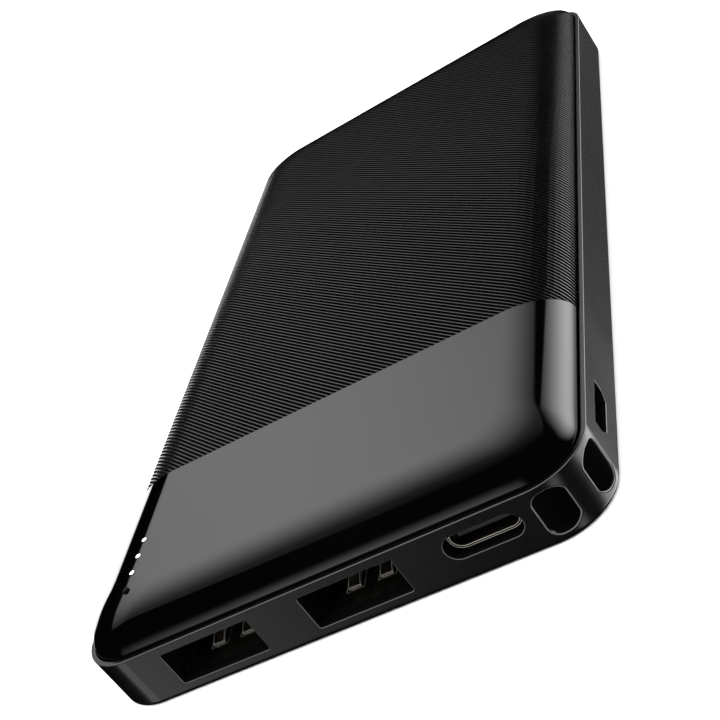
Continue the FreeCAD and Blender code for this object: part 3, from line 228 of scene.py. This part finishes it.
def outline(inset):
    """The gloss end's half loop at one inset, from the left border point round to the right."""
    radius = corner_radius(inset)
    half_x, half_y = HALF_X - inset, HALF_Y - inset
    centre_x, centre_y = half_x - radius, -half_y + radius
    points = [(-half_x, y) for y in np.linspace(BORDER_Y, centre_y, SIDE_POINTS)]
    points += corner_arc(-centre_x, centre_y, radius, 180)
    points += [(x, -half_y) for x in np.linspace(-centre_x, centre_x, END_POINTS)[1:]]
    points += corner_arc(centre_x, centre_y, radius, 270)
    points += [(half_x, y) for y in np.linspace(centre_y, BORDER_Y, SIDE_POINTS)[1:]]
    return points


def make_gloss_end():
    levels = [(0.0, SKIRT_Z)]
    for step in range(ROUND_STEPS + 1):
        lean = math.radians(90.0 * step / ROUND_STEPS)
        levels.append((ROUND_RUN * (1 - math.cos(lean)), SEAM_Z + ROUND_RISE * math.sin(lean)))
    rings = [[(x, y, z) for x, y in outline(inset)] for inset, z in levels]
    count = len(rings[0])
    points = [p for ring in rings for p in ring]
    faces = grid_faces(len(rings), count)
    last = (len(rings) - 1) * count
    faces.append(tuple(last + n for n in range(count)))
    # The wall that closes the grooves, on corners of its own so that the border stays crisp.
    border = [ring[0] for ring in rings] + [ring[-1] for ring in reversed(rings)]
    start = len(points)
    points += border + [(x, y, z - 2 * GROOVE_DEPTH) for x, y, z in border]
    for n in range(len(border) - 1):
        low = start + len(border) + n
        faces.append((start + n, start + n + 1, low + 1, low))
    return mesh_object("cover_gloss_end", points, faces)


def ridge_rows():
    """How far across the ridges each row of the field lies, and its share of the depth."""
    first = (-HALF_X + BORDER_Y) / ROOT2
    corner_turn = SEAM_CORNER * (1 - 1 / ROOT2)
    last = (HALF_X + HALF_Y) / ROOT2 - corner_turn * ROOT2
    rows, depths = [], []
    for ridge in range(int((last - first) / RIDGE_PITCH) + 2):
        for share, depth in RIDGE_PROFILE:
            across = first + (ridge + share) * RIDGE_PITCH
            if first + ROW_MARGIN < across < last - ROW_MARGIN:
                rows.append(across)
                depths.append(depth)
    rows, depths = np.array(rows), np.array(depths)
    # One more row, through the point where the border meets the right side.
    corner_row = (HALF_X + BORDER_Y) / ROOT2
    place = int(np.searchsorted(rows, corner_row))
    return np.insert(rows, place, corner_row), np.insert(depths, place, depths[place])


def row_middles(rows):
    """A point on each row that lies inside the outline and beyond the border."""
    x = np.clip(rows * ROOT2 / 2, -HALF_X + SIDE_MARGIN, HALF_X - SIDE_MARGIN)
    y = rows * ROOT2 - x
    shift = np.maximum(0, BORDER_Y + BORDER_MARGIN - y)
    x, y = x - shift, y + shift
    too_high = np.maximum(0, y - (HALF_Y - FAR_MARGIN))
    return x + too_high, y - too_high


def ridge_end(points, faces, base, on_border, end):
    """Closes one end of the field: teeth at the border, and a drop to the seam's skirt."""
    columns = RIDGE_COLUMNS + 1
    start = len(points)
    for row, meets_border in enumerate(on_border):
        x, y, z = base[row, end]
        foot = z - BORDER_TEETH if end and meets_border else SKIRT_Z
        points.append((x, y, foot))
    for row in range(len(on_border) - 1):
        quad = (row * columns + end, (row + 1) * columns + end, start + row + 1, start + row)
        faces.append(tuple(reversed(quad)) if end else quad)


def make_ridge_field():
    """Rows run along the ridges, and each row is sunk by the depth of the groove there."""
    rows, depths = ridge_rows()
    middle_x, middle_y = row_middles(rows)
    dx, dy = 1 / ROOT2, -1 / ROOT2
    back = seam_reach(middle_x, middle_y, -dx, -dy)
    ahead = seam_reach(middle_x, middle_y, dx, dy)
    to_border = (middle_y - BORDER_Y) * ROOT2
    on_border = to_border < ahead
    ahead = np.where(on_border, to_border, ahead)
    shares = (1 - np.cos(np.pi * np.arange(RIDGE_COLUMNS + 1) / RIDGE_COLUMNS)) / 2
    along = -back[:, None] + (back + ahead)[:, None] * shares[None, :]
    x = middle_x[:, None] + dx * along
    y = middle_y[:, None] + dy * along
    base = np.stack([x, y, surface(x, y)], -1)
    sunk = base - surface_normal(x, y) * (depths * GROOVE_DEPTH)[:, None, None]
    points = [tuple(p) for p in sunk.reshape(-1, 3)]
    faces = grid_faces(len(rows), RIDGE_COLUMNS + 1)
    # Slot 0 is the top of a ridge, and slot 1 the wall of a groove or an end, rough and with little
    # reflection as painted shade.
    deep = np.maximum(depths[:-1], depths[1:]) > GROOVE_WALL_DEPTH
    slots = [int(wall) for wall in deep for _ in range(RIDGE_COLUMNS)]
    for end in (0, RIDGE_COLUMNS):
        ridge_end(points, faces, base, on_border, end)
    slots += [1] * (len(faces) - len(slots))
    item = mesh_object("cover_ridge_field", points, faces, smooth=False)
    ink(item, (MATERIALS["cover_ridged"], MATERIALS["cover_groove_shaded"]), slots)
    return item


def make_light_lens(index):
    """A small domed lens that closes one light hole. The first light is off."""
    y = LIGHT_FIRST_Y + LIGHT_PITCH * index
    rings, turns = len(LENS_RINGS), LENS_TURNS
    level = max(GUIDE_TOP, float(surface(np.array([LIGHT_X]), np.array([y]))[0]))
    points, faces, slots = [], [], []
    for share in LENS_RINGS:
        lift = LENS_LIFT + LENS_DOME * (1 - share**2)
        radius = LIGHT_RADIUS * share
        for turn in range(turns):
            angle = 2 * math.pi * turn / turns
            px, py = LIGHT_X + radius * math.cos(angle), y + radius * math.sin(angle)
            points.append((px, py, level + lift))
    for turn in range(turns):
        ahead = (turn + 1) % turns
        for ring in range(rings - 1):
            start = ring * turns
            faces.append((start + turn, start + ahead, start + turns + ahead, start + turns + turn))
            slots.append(0 if ring == 0 else 1)
    faces.append(tuple((rings - 1) * turns + turn for turn in range(turns)))
    slots.append(1)
    lower = len(points)
    for px, py, pz in points[:turns]:
        points.append((px, py, pz - LENS_SKIRT))
    for turn in range(turns):
        ahead = (turn + 1) % turns
        faces.append((lower + turn, lower + ahead, ahead, turn))
        slots.append(0)
    item = mesh_object(f"charge_light_{index + 1}", points, faces)
    ink(item, (MATERIALS["light_ring"], MATERIALS["light_off" if index == 0 else "light_on"]), slots)
    return item


# ---------------------------------------------------------------- shader nodes

def fade_in(tree, value, start, full):
    """A smooth 0 to 1 step of a node value from start to full."""
    step = tree.nodes.new("ShaderNodeMapRange")
    step.interpolation_type = "SMOOTHSTEP"
    step.inputs["From Min"].default_value = start
    step.inputs["From Max"].default_value = full
    tree.links.new(value, step.inputs["Value"])
    return step.outputs["Result"]


def combine(tree, operation, first, second):
    """Math node of two values, each a socket or a number."""
    node = tree.nodes.new("ShaderNodeMath")
    node.operation = operation
    for socket, value in zip(node.inputs, (first, second)):
        if isinstance(value, (int, float)):
            socket.default_value = value
        else:
            tree.links.new(value, socket)
    return node.outputs[0]


def vector_math(tree, operation, first, second=None):
    """Vector math node of one or two vectors, each a socket or three numbers."""
    node = tree.nodes.new("ShaderNodeVectorMath")
    node.operation = operation
    for socket, value in zip(node.inputs, (first, second)):
        if isinstance(value, tuple):
            socket.default_value = value
        elif value is not None:
            tree.links.new(value, socket)
    return node.outputs["Value" if operation in ("LENGTH", "DOT_PRODUCT") else "Vector"]


def mix(tree, kind, factor, first, second):
    """Mix node, of kind FLOAT or RGBA, of two things that are each a socket or a value."""
    node = tree.nodes.new("ShaderNodeMix")
    node.data_type = kind
    tree.links.new(factor, node.inputs["Factor"])
    for name, value in (("A", first), ("B", second)):
        if isinstance(value, bpy.types.NodeSocket):
            tree.links.new(value, node.inputs[name])
        else:
            node.inputs[name].default_value = value
    return node.outputs["Result"]


def present(shader, name):
    """What a socket of the shader has now: the socket that feeds it, or its own value."""
    socket = shader.inputs[name]
    return socket.links[0].from_socket if socket.links else socket.default_value


def coordinates(tree, kind):
    return tree.nodes.new("ShaderNodeTexCoord").outputs[kind]


def noise(tree, place, scale, detail):
    node = tree.nodes.new("ShaderNodeTexNoise")
    node.inputs["Scale"].default_value = scale
    node.inputs["Detail"].default_value = detail
    tree.links.new(place, node.inputs["Vector"])
    return node.outputs["Fac"]


# ---------------------------------------------------------------- finishes

NOISE_LOW, NOISE_HIGH = 0.3, 0.7  # most values of a noise lie between these
COAT_ROUGHNESS = 0.03


def material(name, color, roughness, metallic=0.0, coat=0.0):
    made = bpy.data.materials.new(name)
    made.use_nodes = True
    shader = made.node_tree.nodes["Principled BSDF"]
    shader.inputs["Base Color"].default_value = (*color, 1.0)
    shader.inputs["Roughness"].default_value = roughness
    shader.inputs["Metallic"].default_value = metallic
    shader.inputs["Coat Weight"].default_value = coat
    shader.inputs["Coat Roughness"].default_value = COAT_ROUGHNESS
    return made, shader


def vary_roughness(tree, shader, patches, low, high):
    spread = tree.nodes.new("ShaderNodeMapRange")
    spread.inputs["From Min"].default_value = NOISE_LOW
    spread.inputs["From Max"].default_value = NOISE_HIGH
    spread.inputs["To Min"].default_value = low
    spread.inputs["To Max"].default_value = high
    tree.links.new(patches, spread.inputs["Value"])
    tree.links.new(spread.outputs["Result"], shader.inputs["Roughness"])


def vary_tint(tree, shader, patches, tint):
    """The colour goes darker and lighter by the share tint."""
    base = shader.inputs["Base Color"].default_value[:3]
    ramp = tree.nodes.new("ShaderNodeValToRGB")
    dark, light = ramp.color_ramp.elements
    dark.position, light.position = NOISE_LOW, NOISE_HIGH
    dark.color = (*[c * (1 - tint) for c in base], 1)
    light.color = (*[min(1.0, c * (1 + tint)) for c in base], 1)
    tree.links.new(patches, ramp.inputs["Fac"])
    tree.links.new(ramp.outputs["Color"], shader.inputs["Base Color"])


def add_bump(tree, shader, place, strength, scale, distance):
    bumping = tree.nodes.new("ShaderNodeBump")
    bumping.inputs["Strength"].default_value = strength
    bumping.inputs["Distance"].default_value = distance
    tree.links.new(noise(tree, place, scale, 3.0), bumping.inputs["Height"])
    tree.links.new(bumping.outputs["Normal"], shader.inputs["Normal"])


def finish(name, color, rough, patch_scale, metallic=0.0, coat=0.0, tint=0.0, bump=0.0,
           bump_scale=None, bump_distance=0.00002, stretch=(1, 1, 1)):
    """A finish whose roughness, from the lowest to the highest of rough, and tint vary in patches.

    A fine bump is added where bump is its strength. Everything follows object coordinates.
    """
    low, high = rough
    made, shader = material(name, color, (low + high) / 2, metallic, coat)
    tree = made.node_tree
    mapping = tree.nodes.new("ShaderNodeMapping")
    mapping.inputs["Scale"].default_value = stretch
    tree.links.new(coordinates(tree, "Object"), mapping.inputs["Vector"])
    place = mapping.outputs["Vector"]
    patches = noise(tree, place, patch_scale, 5.0)
    vary_roughness(tree, shader, patches, low, high)
    if tint:
        vary_tint(tree, shader, patches, tint)
    if bump:
        add_bump(tree, shader, place, bump, bump_scale or patch_scale * 4, bump_distance)
    MATERIALS[name] = made
    return shader


EDGE_TURN = (0.985, 0.9)  # cosines of a bevelled normal's turn where an edge begins and is full
BEHIND_FADE = 0.0002


def painted_edge_highlight(shader, color, width, metallic=None, behind=None):
    """A painted highlight: a thin lighter line along every edge, where a bevel of this width turns the
    normal.

    Edges get their own metallic value if one is given. Given behind, only edges further along +Y than
    that get the painted highlight.
    """
    tree = shader.id_data
    bevel = tree.nodes.new("ShaderNodeBevel")
    bevel.samples = 6
    bevel.inputs["Radius"].default_value = width
    plain = tree.nodes.new("ShaderNodeNewGeometry").outputs["True Normal"]
    turn = vector_math(tree, "DOT_PRODUCT", bevel.outputs["Normal"], plain)
    edge = tree.nodes.new("ShaderNodeMapRange")
    edge.inputs["From Min"].default_value, edge.inputs["From Max"].default_value = EDGE_TURN
    tree.links.new(turn, edge.inputs["Value"])
    amount = edge.outputs["Result"]
    if behind is not None:
        split = tree.nodes.new("ShaderNodeSeparateXYZ")
        tree.links.new(coordinates(tree, "Object"), split.inputs["Vector"])
        deep = fade_in(tree, split.outputs["Y"], behind, behind + BEHIND_FADE)
        amount = combine(tree, "MULTIPLY", amount, deep)
    # The painted highlight's colour, mixed in along the edges.
    lighter = mix(tree, "RGBA", amount, present(shader, "Base Color"), (*color, 1))
    tree.links.new(lighter, shader.inputs["Base Color"])
    if metallic is not None:
        painted_glint = mix(tree, "FLOAT", amount, present(shader, "Metallic"), metallic)
        tree.links.new(painted_glint, shader.inputs["Metallic"])


# Where the rounded edges of the case get a painted highlight: the cosine of their turn from the plain
# wall.
ROUNDED_FROM, ROUNDED_TO = (0.25, 0.55), (0.95, 0.8)
# Inside the openings the case is rough and has no specular reflection, which paints shade there; outside
# it keeps this specular level.
DEEP_ROUGHNESS = 0.9
PLAIN_SPECULAR = 0.5


def case_highlights_and_shade(shader, color):
    """Painted highlights on the rounded edges of the case wall, and painted shade inside its openings,
    which are rough there and reflect nothing.

    The wall is a rounded rectangle, so what reaches past the centres of its corners gives both
    the direction that the plain wall faces and the distance from the outside.
    """
    tree = shader.id_data
    place = coordinates(tree, "Object")
    past = vector_math(tree, "SUBTRACT", vector_math(tree, "ABSOLUTE", place), (*CORNER_CENTRE, 1.0))
    past = vector_math(tree, "MAXIMUM", past, (0.0, 0.0, 0.0))
    reach = vector_math(tree, "LENGTH", past)
    facing = vector_math(tree, "MULTIPLY", past, vector_math(tree, "SIGN", place))
    facing = vector_math(tree, "NORMALIZE", facing)
    normal = tree.nodes.new("ShaderNodeNewGeometry").outputs["Normal"]
    turn = combine(tree, "ABSOLUTE", vector_math(tree, "DOT_PRODUCT", facing, normal), 0.0)
    rounded = combine(
        tree, "MULTIPLY", fade_in(tree, turn, *ROUNDED_FROM), fade_in(tree, turn, *ROUNDED_TO)
    )
    split = tree.nodes.new("ShaderNodeSeparateXYZ")
    tree.links.new(place, split.inputs["Vector"])
    height = split.outputs["Z"]
    outside = fade_in(tree, reach, *[CORNER_REACH - depth for depth in EDGE_IN])
    near = combine(tree, "MAXIMUM", outside, fade_in(tree, height, *RIM_UP))
    # Painted highlight: the lighter colour on the rounded edges near the outside, above the foot.
    highlight_band = combine(tree, "MULTIPLY", rounded, near)
    highlight_band = combine(tree, "MULTIPLY", highlight_band, fade_in(tree, height, *FOOT_UP))
    lighter = mix(tree, "RGBA", highlight_band, present(shader, "Base Color"), (*color, 1))
    tree.links.new(lighter, shader.inputs["Base Color"])
    # Painted shade inside the openings: full roughness and no specular reflection away from the outside.
    duller = mix(tree, "FLOAT", near, DEEP_ROUGHNESS, present(shader, "Roughness"))
    tree.links.new(duller, shader.inputs["Roughness"])
    specular = combine(tree, "MULTIPLY", near, PLAIN_SPECULAR)
    tree.links.new(specular, shader.inputs["Specular IOR Level"])


def make_case_finishes():
    shader = finish("case_black", (0.002, 0.002, 0.0021), (0.18, 0.24), 60, tint=0.12,
                    bump=0.02, bump_scale=2600, bump_distance=0.000004)
    # Painted highlights on the case's rounded edges, and painted shade inside its openings.
    case_highlights_and_shade(shader, (0.07, 0.07, 0.07))
    shader = finish("button_black", (0.003, 0.003, 0.0031), (0.26, 0.36), 200, tint=0.12,
                    bump=0.1, bump_scale=3000)
    # Painted highlight: a light grey line along the button's edges.
    painted_edge_highlight(shader, (0.2, 0.2, 0.2), 0.00011)


def make_cover_finishes():
    finish("cover_gloss", (0.0005, 0.0005, 0.0005), (0.04, 0.07), 35, tint=0.2, bump=0.01,
           bump_scale=200)
    finish("cover_ridged", (0.0006, 0.0006, 0.0006), (0.19, 0.25), 80, tint=0.2)
    # Groove walls: little specular reflection, a painted shade for the grooves' own shadowing.
    shader = finish("cover_groove_shaded", (0.0012, 0.0012, 0.0012), (0.5, 0.7), 80, tint=0.2)
    shader.inputs["Specular IOR Level"].default_value = 0.06


def make_light_finishes():
    shader = finish("clear_guide", (0.02, 0.021, 0.022), (0.1, 0.22), 600, tint=0.03)
    shader.inputs["Transmission Weight"].default_value = 0.3
    lit = (0.95, 0.98, 1.0)
    shader = finish("light_on", lit, (0.25, 0.4), 2000, tint=0.02)
    shader.inputs["Emission Color"].default_value = (*lit, 1.0)
    shader.inputs["Emission Strength"].default_value = 2.5
    for name in ("light_off", "light_ring"):
        shader = finish(name, (0.001, 0.001, 0.001), (0.45, 0.55), 2000, tint=0.1)
        shader.inputs["Specular IOR Level"].default_value = 0.05


def make_port_finishes():
    # Painted glints: a pale, less metallic line along the steel's edges; on the wide ports only deeper
    # than their front rims.
    painted_glint, width = (0.9, 0.86, 0.76), 0.00014
    for name, behind in (("tinned_steel", None), ("port_steel", (PORT_FRONT + PORT_RIM) * MM)):
        shader = finish(name, (0.13, 0.125, 0.115), (0.22, 0.28), 300, metallic=0.98,
                        tint=0.06, bump=0.03, bump_scale=2500)
        painted_edge_highlight(shader, painted_glint, width, metallic=0.3, behind=behind)
    finish("contact_gold", (0.83, 0.66, 0.36), (0.14, 0.28), 900, metallic=0.65, tint=0.12)
    finish("tongue_black", (0.012, 0.012, 0.013), (0.35, 0.48), 500, tint=0.15, bump=0.15,
           bump_scale=4000)


def make_board_finishes():
    finish("board_green", (0.012, 0.1, 0.045), (0.25, 0.4), 900, coat=0.4, tint=0.3, bump=0.25,
           bump_scale=1200)
    finish("component_black", (0.02, 0.02, 0.022), (0.42, 0.6), 600, tint=0.25, bump=0.2,
           bump_scale=5000)
    finish("component_white", (0.8, 0.8, 0.77), (0.3, 0.42), 400, tint=0.05, bump=0.1)
    finish("ferrite_grey", (0.05, 0.05, 0.055), (0.55, 0.72), 900, tint=0.3, bump=0.4,
           bump_scale=3500)
    finish("can_aluminium", (0.75, 0.75, 0.76), (0.22, 0.36), 700, metallic=1.0, tint=0.06,
           bump=0.1, bump_scale=2200)
    finish("ceramic_tan", (0.36, 0.22, 0.12), (0.42, 0.6), 900, tint=0.2, bump=0.2,
           bump_scale=4000)


def make_cell_finishes():
    finish("pouch_foil", (0.66, 0.67, 0.69), (0.22, 0.42), 90, metallic=1.0, tint=0.08, bump=0.35,
           bump_scale=140, bump_distance=0.0002)
    finish("tape_white", (0.8, 0.8, 0.77), (0.5, 0.7), 300, tint=0.06, bump=0.3, bump_scale=2500)
    finish("foam_black", (0.02, 0.02, 0.02), (0.85, 1.0), 500, tint=0.4, bump=0.9,
           bump_scale=3200, bump_distance=0.0002)
    finish("nickel", (0.66, 0.63, 0.57), (0.2, 0.36), 700, metallic=1.0, tint=0.1, bump=0.15,
           stretch=(1, 5, 1))
    finish("film_amber", (0.6, 0.25, 0.03), (0.12, 0.28), 120, coat=0.4, tint=0.15, bump=0.2,
           bump_scale=400)
    finish("wire_red", (0.5, 0.02, 0.02), (0.32, 0.46), 400, tint=0.12, bump=0.1)
    finish("wire_black", (0.02, 0.02, 0.02), (0.32, 0.46), 400, tint=0.2, bump=0.1)


def dress(item, made):
    item.data.materials.clear()
    item.data.materials.append(made)


# ---------------------------------------------------------------- studio

def card_glow(name, size, level, soft, spot):
    """Emission of a card: an even level and a round hot spot, soft at its four edges."""
    made = bpy.data.materials.new(name)
    made.use_nodes = True
    tree = made.node_tree
    tree.nodes.clear()
    place = coordinates(tree, "Generated")
    split = tree.nodes.new("ShaderNodeSeparateXYZ")
    tree.links.new(place, split.inputs["Vector"])
    mask = 1.0
    for axis, near, far in (("X", soft[0], soft[1]), ("Y", soft[2], soft[3])):
        for start, full in ((0.0, near), (1.0, 1.0 - far)):
            mask = combine(tree, "MULTIPLY", mask, fade_in(tree, split.outputs[axis], start, full))
    total = level
    if spot:
        (spot_x, spot_y), reach, strength = spot
        across, up = size[0] / reach, size[1] / reach
        centred = tree.nodes.new("ShaderNodeMapping")
        centred.inputs["Scale"].default_value = (across, up, 0)
        centred.inputs["Location"].default_value = (-spot_x * across, -spot_y * up, 0)
        tree.links.new(place, centred.inputs["Vector"])
        distance = vector_math(tree, "LENGTH", centred.outputs["Vector"])
        hot = combine(tree, "MULTIPLY", fade_in(tree, distance, 1.0, 0.0), strength)
        total = combine(tree, "ADD", hot, level)
    glow = tree.nodes.new("ShaderNodeEmission")
    tree.links.new(combine(tree, "MULTIPLY", mask, total), glow.inputs["Strength"])
    output = tree.nodes.new("ShaderNodeOutputMaterial")
    tree.links.new(glow.outputs[0], output.inputs["Surface"])
    made.cycles.emission_sampling = "NONE"
    return made


def card(name, azimuth, elevation, shape, level, soft, spot=None):
    """A glowing studio card that only reflections see.

    It faces the object from an azimuth measured from +Y towards +X. Its corners are offsets
    to the right and up, as shares of its distance; two of them stand for a rectangle. Its glow
    has an even level, fades in over the shares soft from its left, right, lower and upper
    sides, and may have a hot spot with a centre, a radius and a strength.
    """
    if len(shape) == 2:
        (left, bottom), (far, top) = shape
        shape = ((left, bottom), (far, bottom), (far, top), (left, top))
    turn, lift = math.radians(azimuth), math.radians(elevation)
    east, north = math.sin(turn), math.cos(turn)
    toward = Vector((east * math.cos(lift), north * math.cos(lift), math.sin(lift)))
    right = Vector((north, -east, 0))
    upward = Vector((-east * math.sin(lift), -north * math.sin(lift), math.cos(lift)))
    low = [min(corner[axis] for corner in shape) for axis in (0, 1)]
    size = [max(corner[axis] for corner in shape) - low[axis] for axis in (0, 1)]
    if spot:
        (x, y), reach, strength = spot
        spot = (((x - low[0]) / size[0], (y - low[1]) / size[1]), reach, strength)
    corners = [(x * CARD_DISTANCE, y * CARD_DISTANCE, 0) for x, y in shape]
    mesh = bpy.data.meshes.new(name)
    mesh.from_pydata(corners, [], [tuple(range(len(shape)))])
    mesh.update()
    mesh.materials.append(card_glow(name, size, level, soft, spot))
    item = bpy.data.objects.new(name, mesh)
    bpy.context.scene.collection.objects.link(item)
    item.location = toward * CARD_DISTANCE
    item.rotation_mode = "QUATERNION"
    item.rotation_quaternion = Matrix((right, upward, -toward)).transposed().to_quaternion()
    item.visible_camera = False
    item.visible_diffuse = False
    item.visible_shadow = False
    item.visible_transmission = False


def make_cards():
    # Large softbox behind and above, with a slanting lower left edge.
    slanted = ((-0.609, -0.026), (-0.131, -0.41), (0.18, -0.66), (0.63, -0.66), (0.63, 0.8),
               (-0.42, 0.8), (-0.5, 0.24))
    card("card_back", -35, 45, slanted, 0.24, (0.03, 0.05, 0.14, 0.35), ((0.03, -0.11), 0.64, 1.65))
    # Round lamp behind to the right, seen in the right rounding of the cover.
    card("card_right", 38, 16, ((-0.45, -0.75), (1.0, 0.8)), 0.0, (0.02, 0.02, 0.02, 0.1),
         ((0.14, 0), 0.85, 5.6))
    # Strip low behind to the left, seen along the left seam.
    card("card_left", -42, -12, ((-0.3, -0.28), (0.3, 0.27)), 2.6, (0.12, 0.1, 0.8, 0.04))
    # Fills in front, seen in the front rounding and at the left end of the front wall.
    card("card_front", -155, 0, ((-0.4, -0.5), (0.4, 0.65)), 1.5, (0.5, 0.5, 0.12, 0.95))
    card("card_front_low", -136, -30, ((-0.3, -0.16), (0.28, 0.2)), 1.3, (0.75, 0.1, 0.2, 0.3))
    # Low lamps seen in the rounded corner beside the ports.
    card("card_low_right", 60, -40, ((-0.75, -0.3), (0.72, 0.28)), 4.0, (0.3, 0.25, 0.2, 0.2))
    card("card_low_front", 149, -36, ((-0.24, -0.25), (0.24, 0.25)), 1.6, (0.5, 0.5, 0.2, 0.2))
    # Dim fill seen in the right wall.
    card("card_dim", 12, -26, ((-0.25, -0.25), (0.2, 0.25)), 0.1, (0.1, 0.1, 0.1, 0.1))


def make_floor():
    """A matt floor that the gloss doesn't reflect."""
    mesh = bpy.data.meshes.new("studio_floor")
    corners = [(x * FLOOR_REACH, y * FLOOR_REACH, 0) for x, y in ((-1, -1), (1, -1), (1, 1), (-1, 1))]
    mesh.from_pydata(corners, [], [(0, 1, 2, 3)])
    mesh.update()
    item = bpy.data.objects.new("studio_floor", mesh)
    bpy.context.scene.collection.objects.link(item)
    made, shader = material("studio_floor", (0.93, 0.93, 0.93), 0.9)
    shader.inputs["Specular IOR Level"].default_value = 0.0
    dress(item, made)
    item.visible_glossy = False


def make_lights():
    """Soft discs that light matt surfaces: name, place, power in watts and diameter."""
    for name, place, power, size in (
        ("key_soft", (-0.5, -0.5, 1.1), 16.0, 1.1),
        ("fill_soft", (0.7, -0.4, 0.9), 9.0, 1.2),
        ("back_soft", (0.1, 0.9, 0.9), 8.0, 1.2),
        ("port_soft", (-0.2, -0.95, 0.12), 4.0, 0.2),
    ):
        lamp = bpy.data.lights.new(name, "AREA")
        lamp.energy = power
        lamp.shape = "DISK"
        lamp.size = size
        item = bpy.data.objects.new(name, lamp)
        bpy.context.scene.collection.objects.link(item)
        item.location = place
        item.rotation_mode = "QUATERNION"
        item.rotation_quaternion = (-Vector(place)).to_track_quat("-Z", "Y")
        item.visible_camera = False
        item.visible_glossy = False


def make_world():
    """An even white surround that the gloss doesn't reflect."""
    scene = bpy.context.scene
    world = scene.world or bpy.data.worlds.new("studio")
    scene.world = world
    world.use_nodes = True
    background = world.node_tree.nodes["Background"]
    background.inputs["Color"].default_value = (1, 1, 1, 1)
    background.inputs["Strength"].default_value = 0.9
    world.cycles_visibility.glossy = False
    scene.view_settings.view_transform = "Standard"


def make_camera():
    lens = bpy.data.cameras.new("camera")
    lens.lens = CAMERA_LENS
    lens.sensor_width = 36.0
    lens.clip_start = 0.01
    lens.clip_end = 50.0
    item = bpy.data.objects.new("camera", lens)
    bpy.context.scene.collection.objects.link(item)
    turn, lift = math.radians(CAMERA_AZIMUTH), math.radians(CAMERA_ELEVATION)
    forward = Vector((-math.sin(turn) * math.cos(lift), math.cos(turn) * math.cos(lift), -math.sin(lift)))
    level = forward.to_track_quat("-Z", "Y")
    item.rotation_mode = "QUATERNION"
    item.rotation_quaternion = level @ Quaternion((0, 0, 1), math.radians(-CAMERA_ROLL))
    item.location = CAMERA_PLACE
    bpy.context.scene.camera = item


# ---------------------------------------------------------------- build

make_case_finishes()
make_cover_finishes()
make_light_finishes()
make_port_finishes()
make_board_finishes()
make_cell_finishes()

SLOT_OF = {row["node"]: row["material_slot"] for row in frame["record"]["subparts"]}
for name, node in frame["nodes"].items():
    look = "port_steel" if name in PORT_SHELLS else SLOT_OF[name]
    dress(node, MATERIALS[look])

gloss_end = make_gloss_end()
ridge_field = make_ridge_field()
dress(gloss_end, MATERIALS["cover_gloss"])
for piece in (gloss_end, ridge_field):
    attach(piece, "housing")
    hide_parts("top_cover")
for n in range(LIGHT_COUNT):
    lens = make_light_lens(n)
    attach(lens, "housing")

make_world()
make_floor()
make_lights()
make_cards()
make_camera()
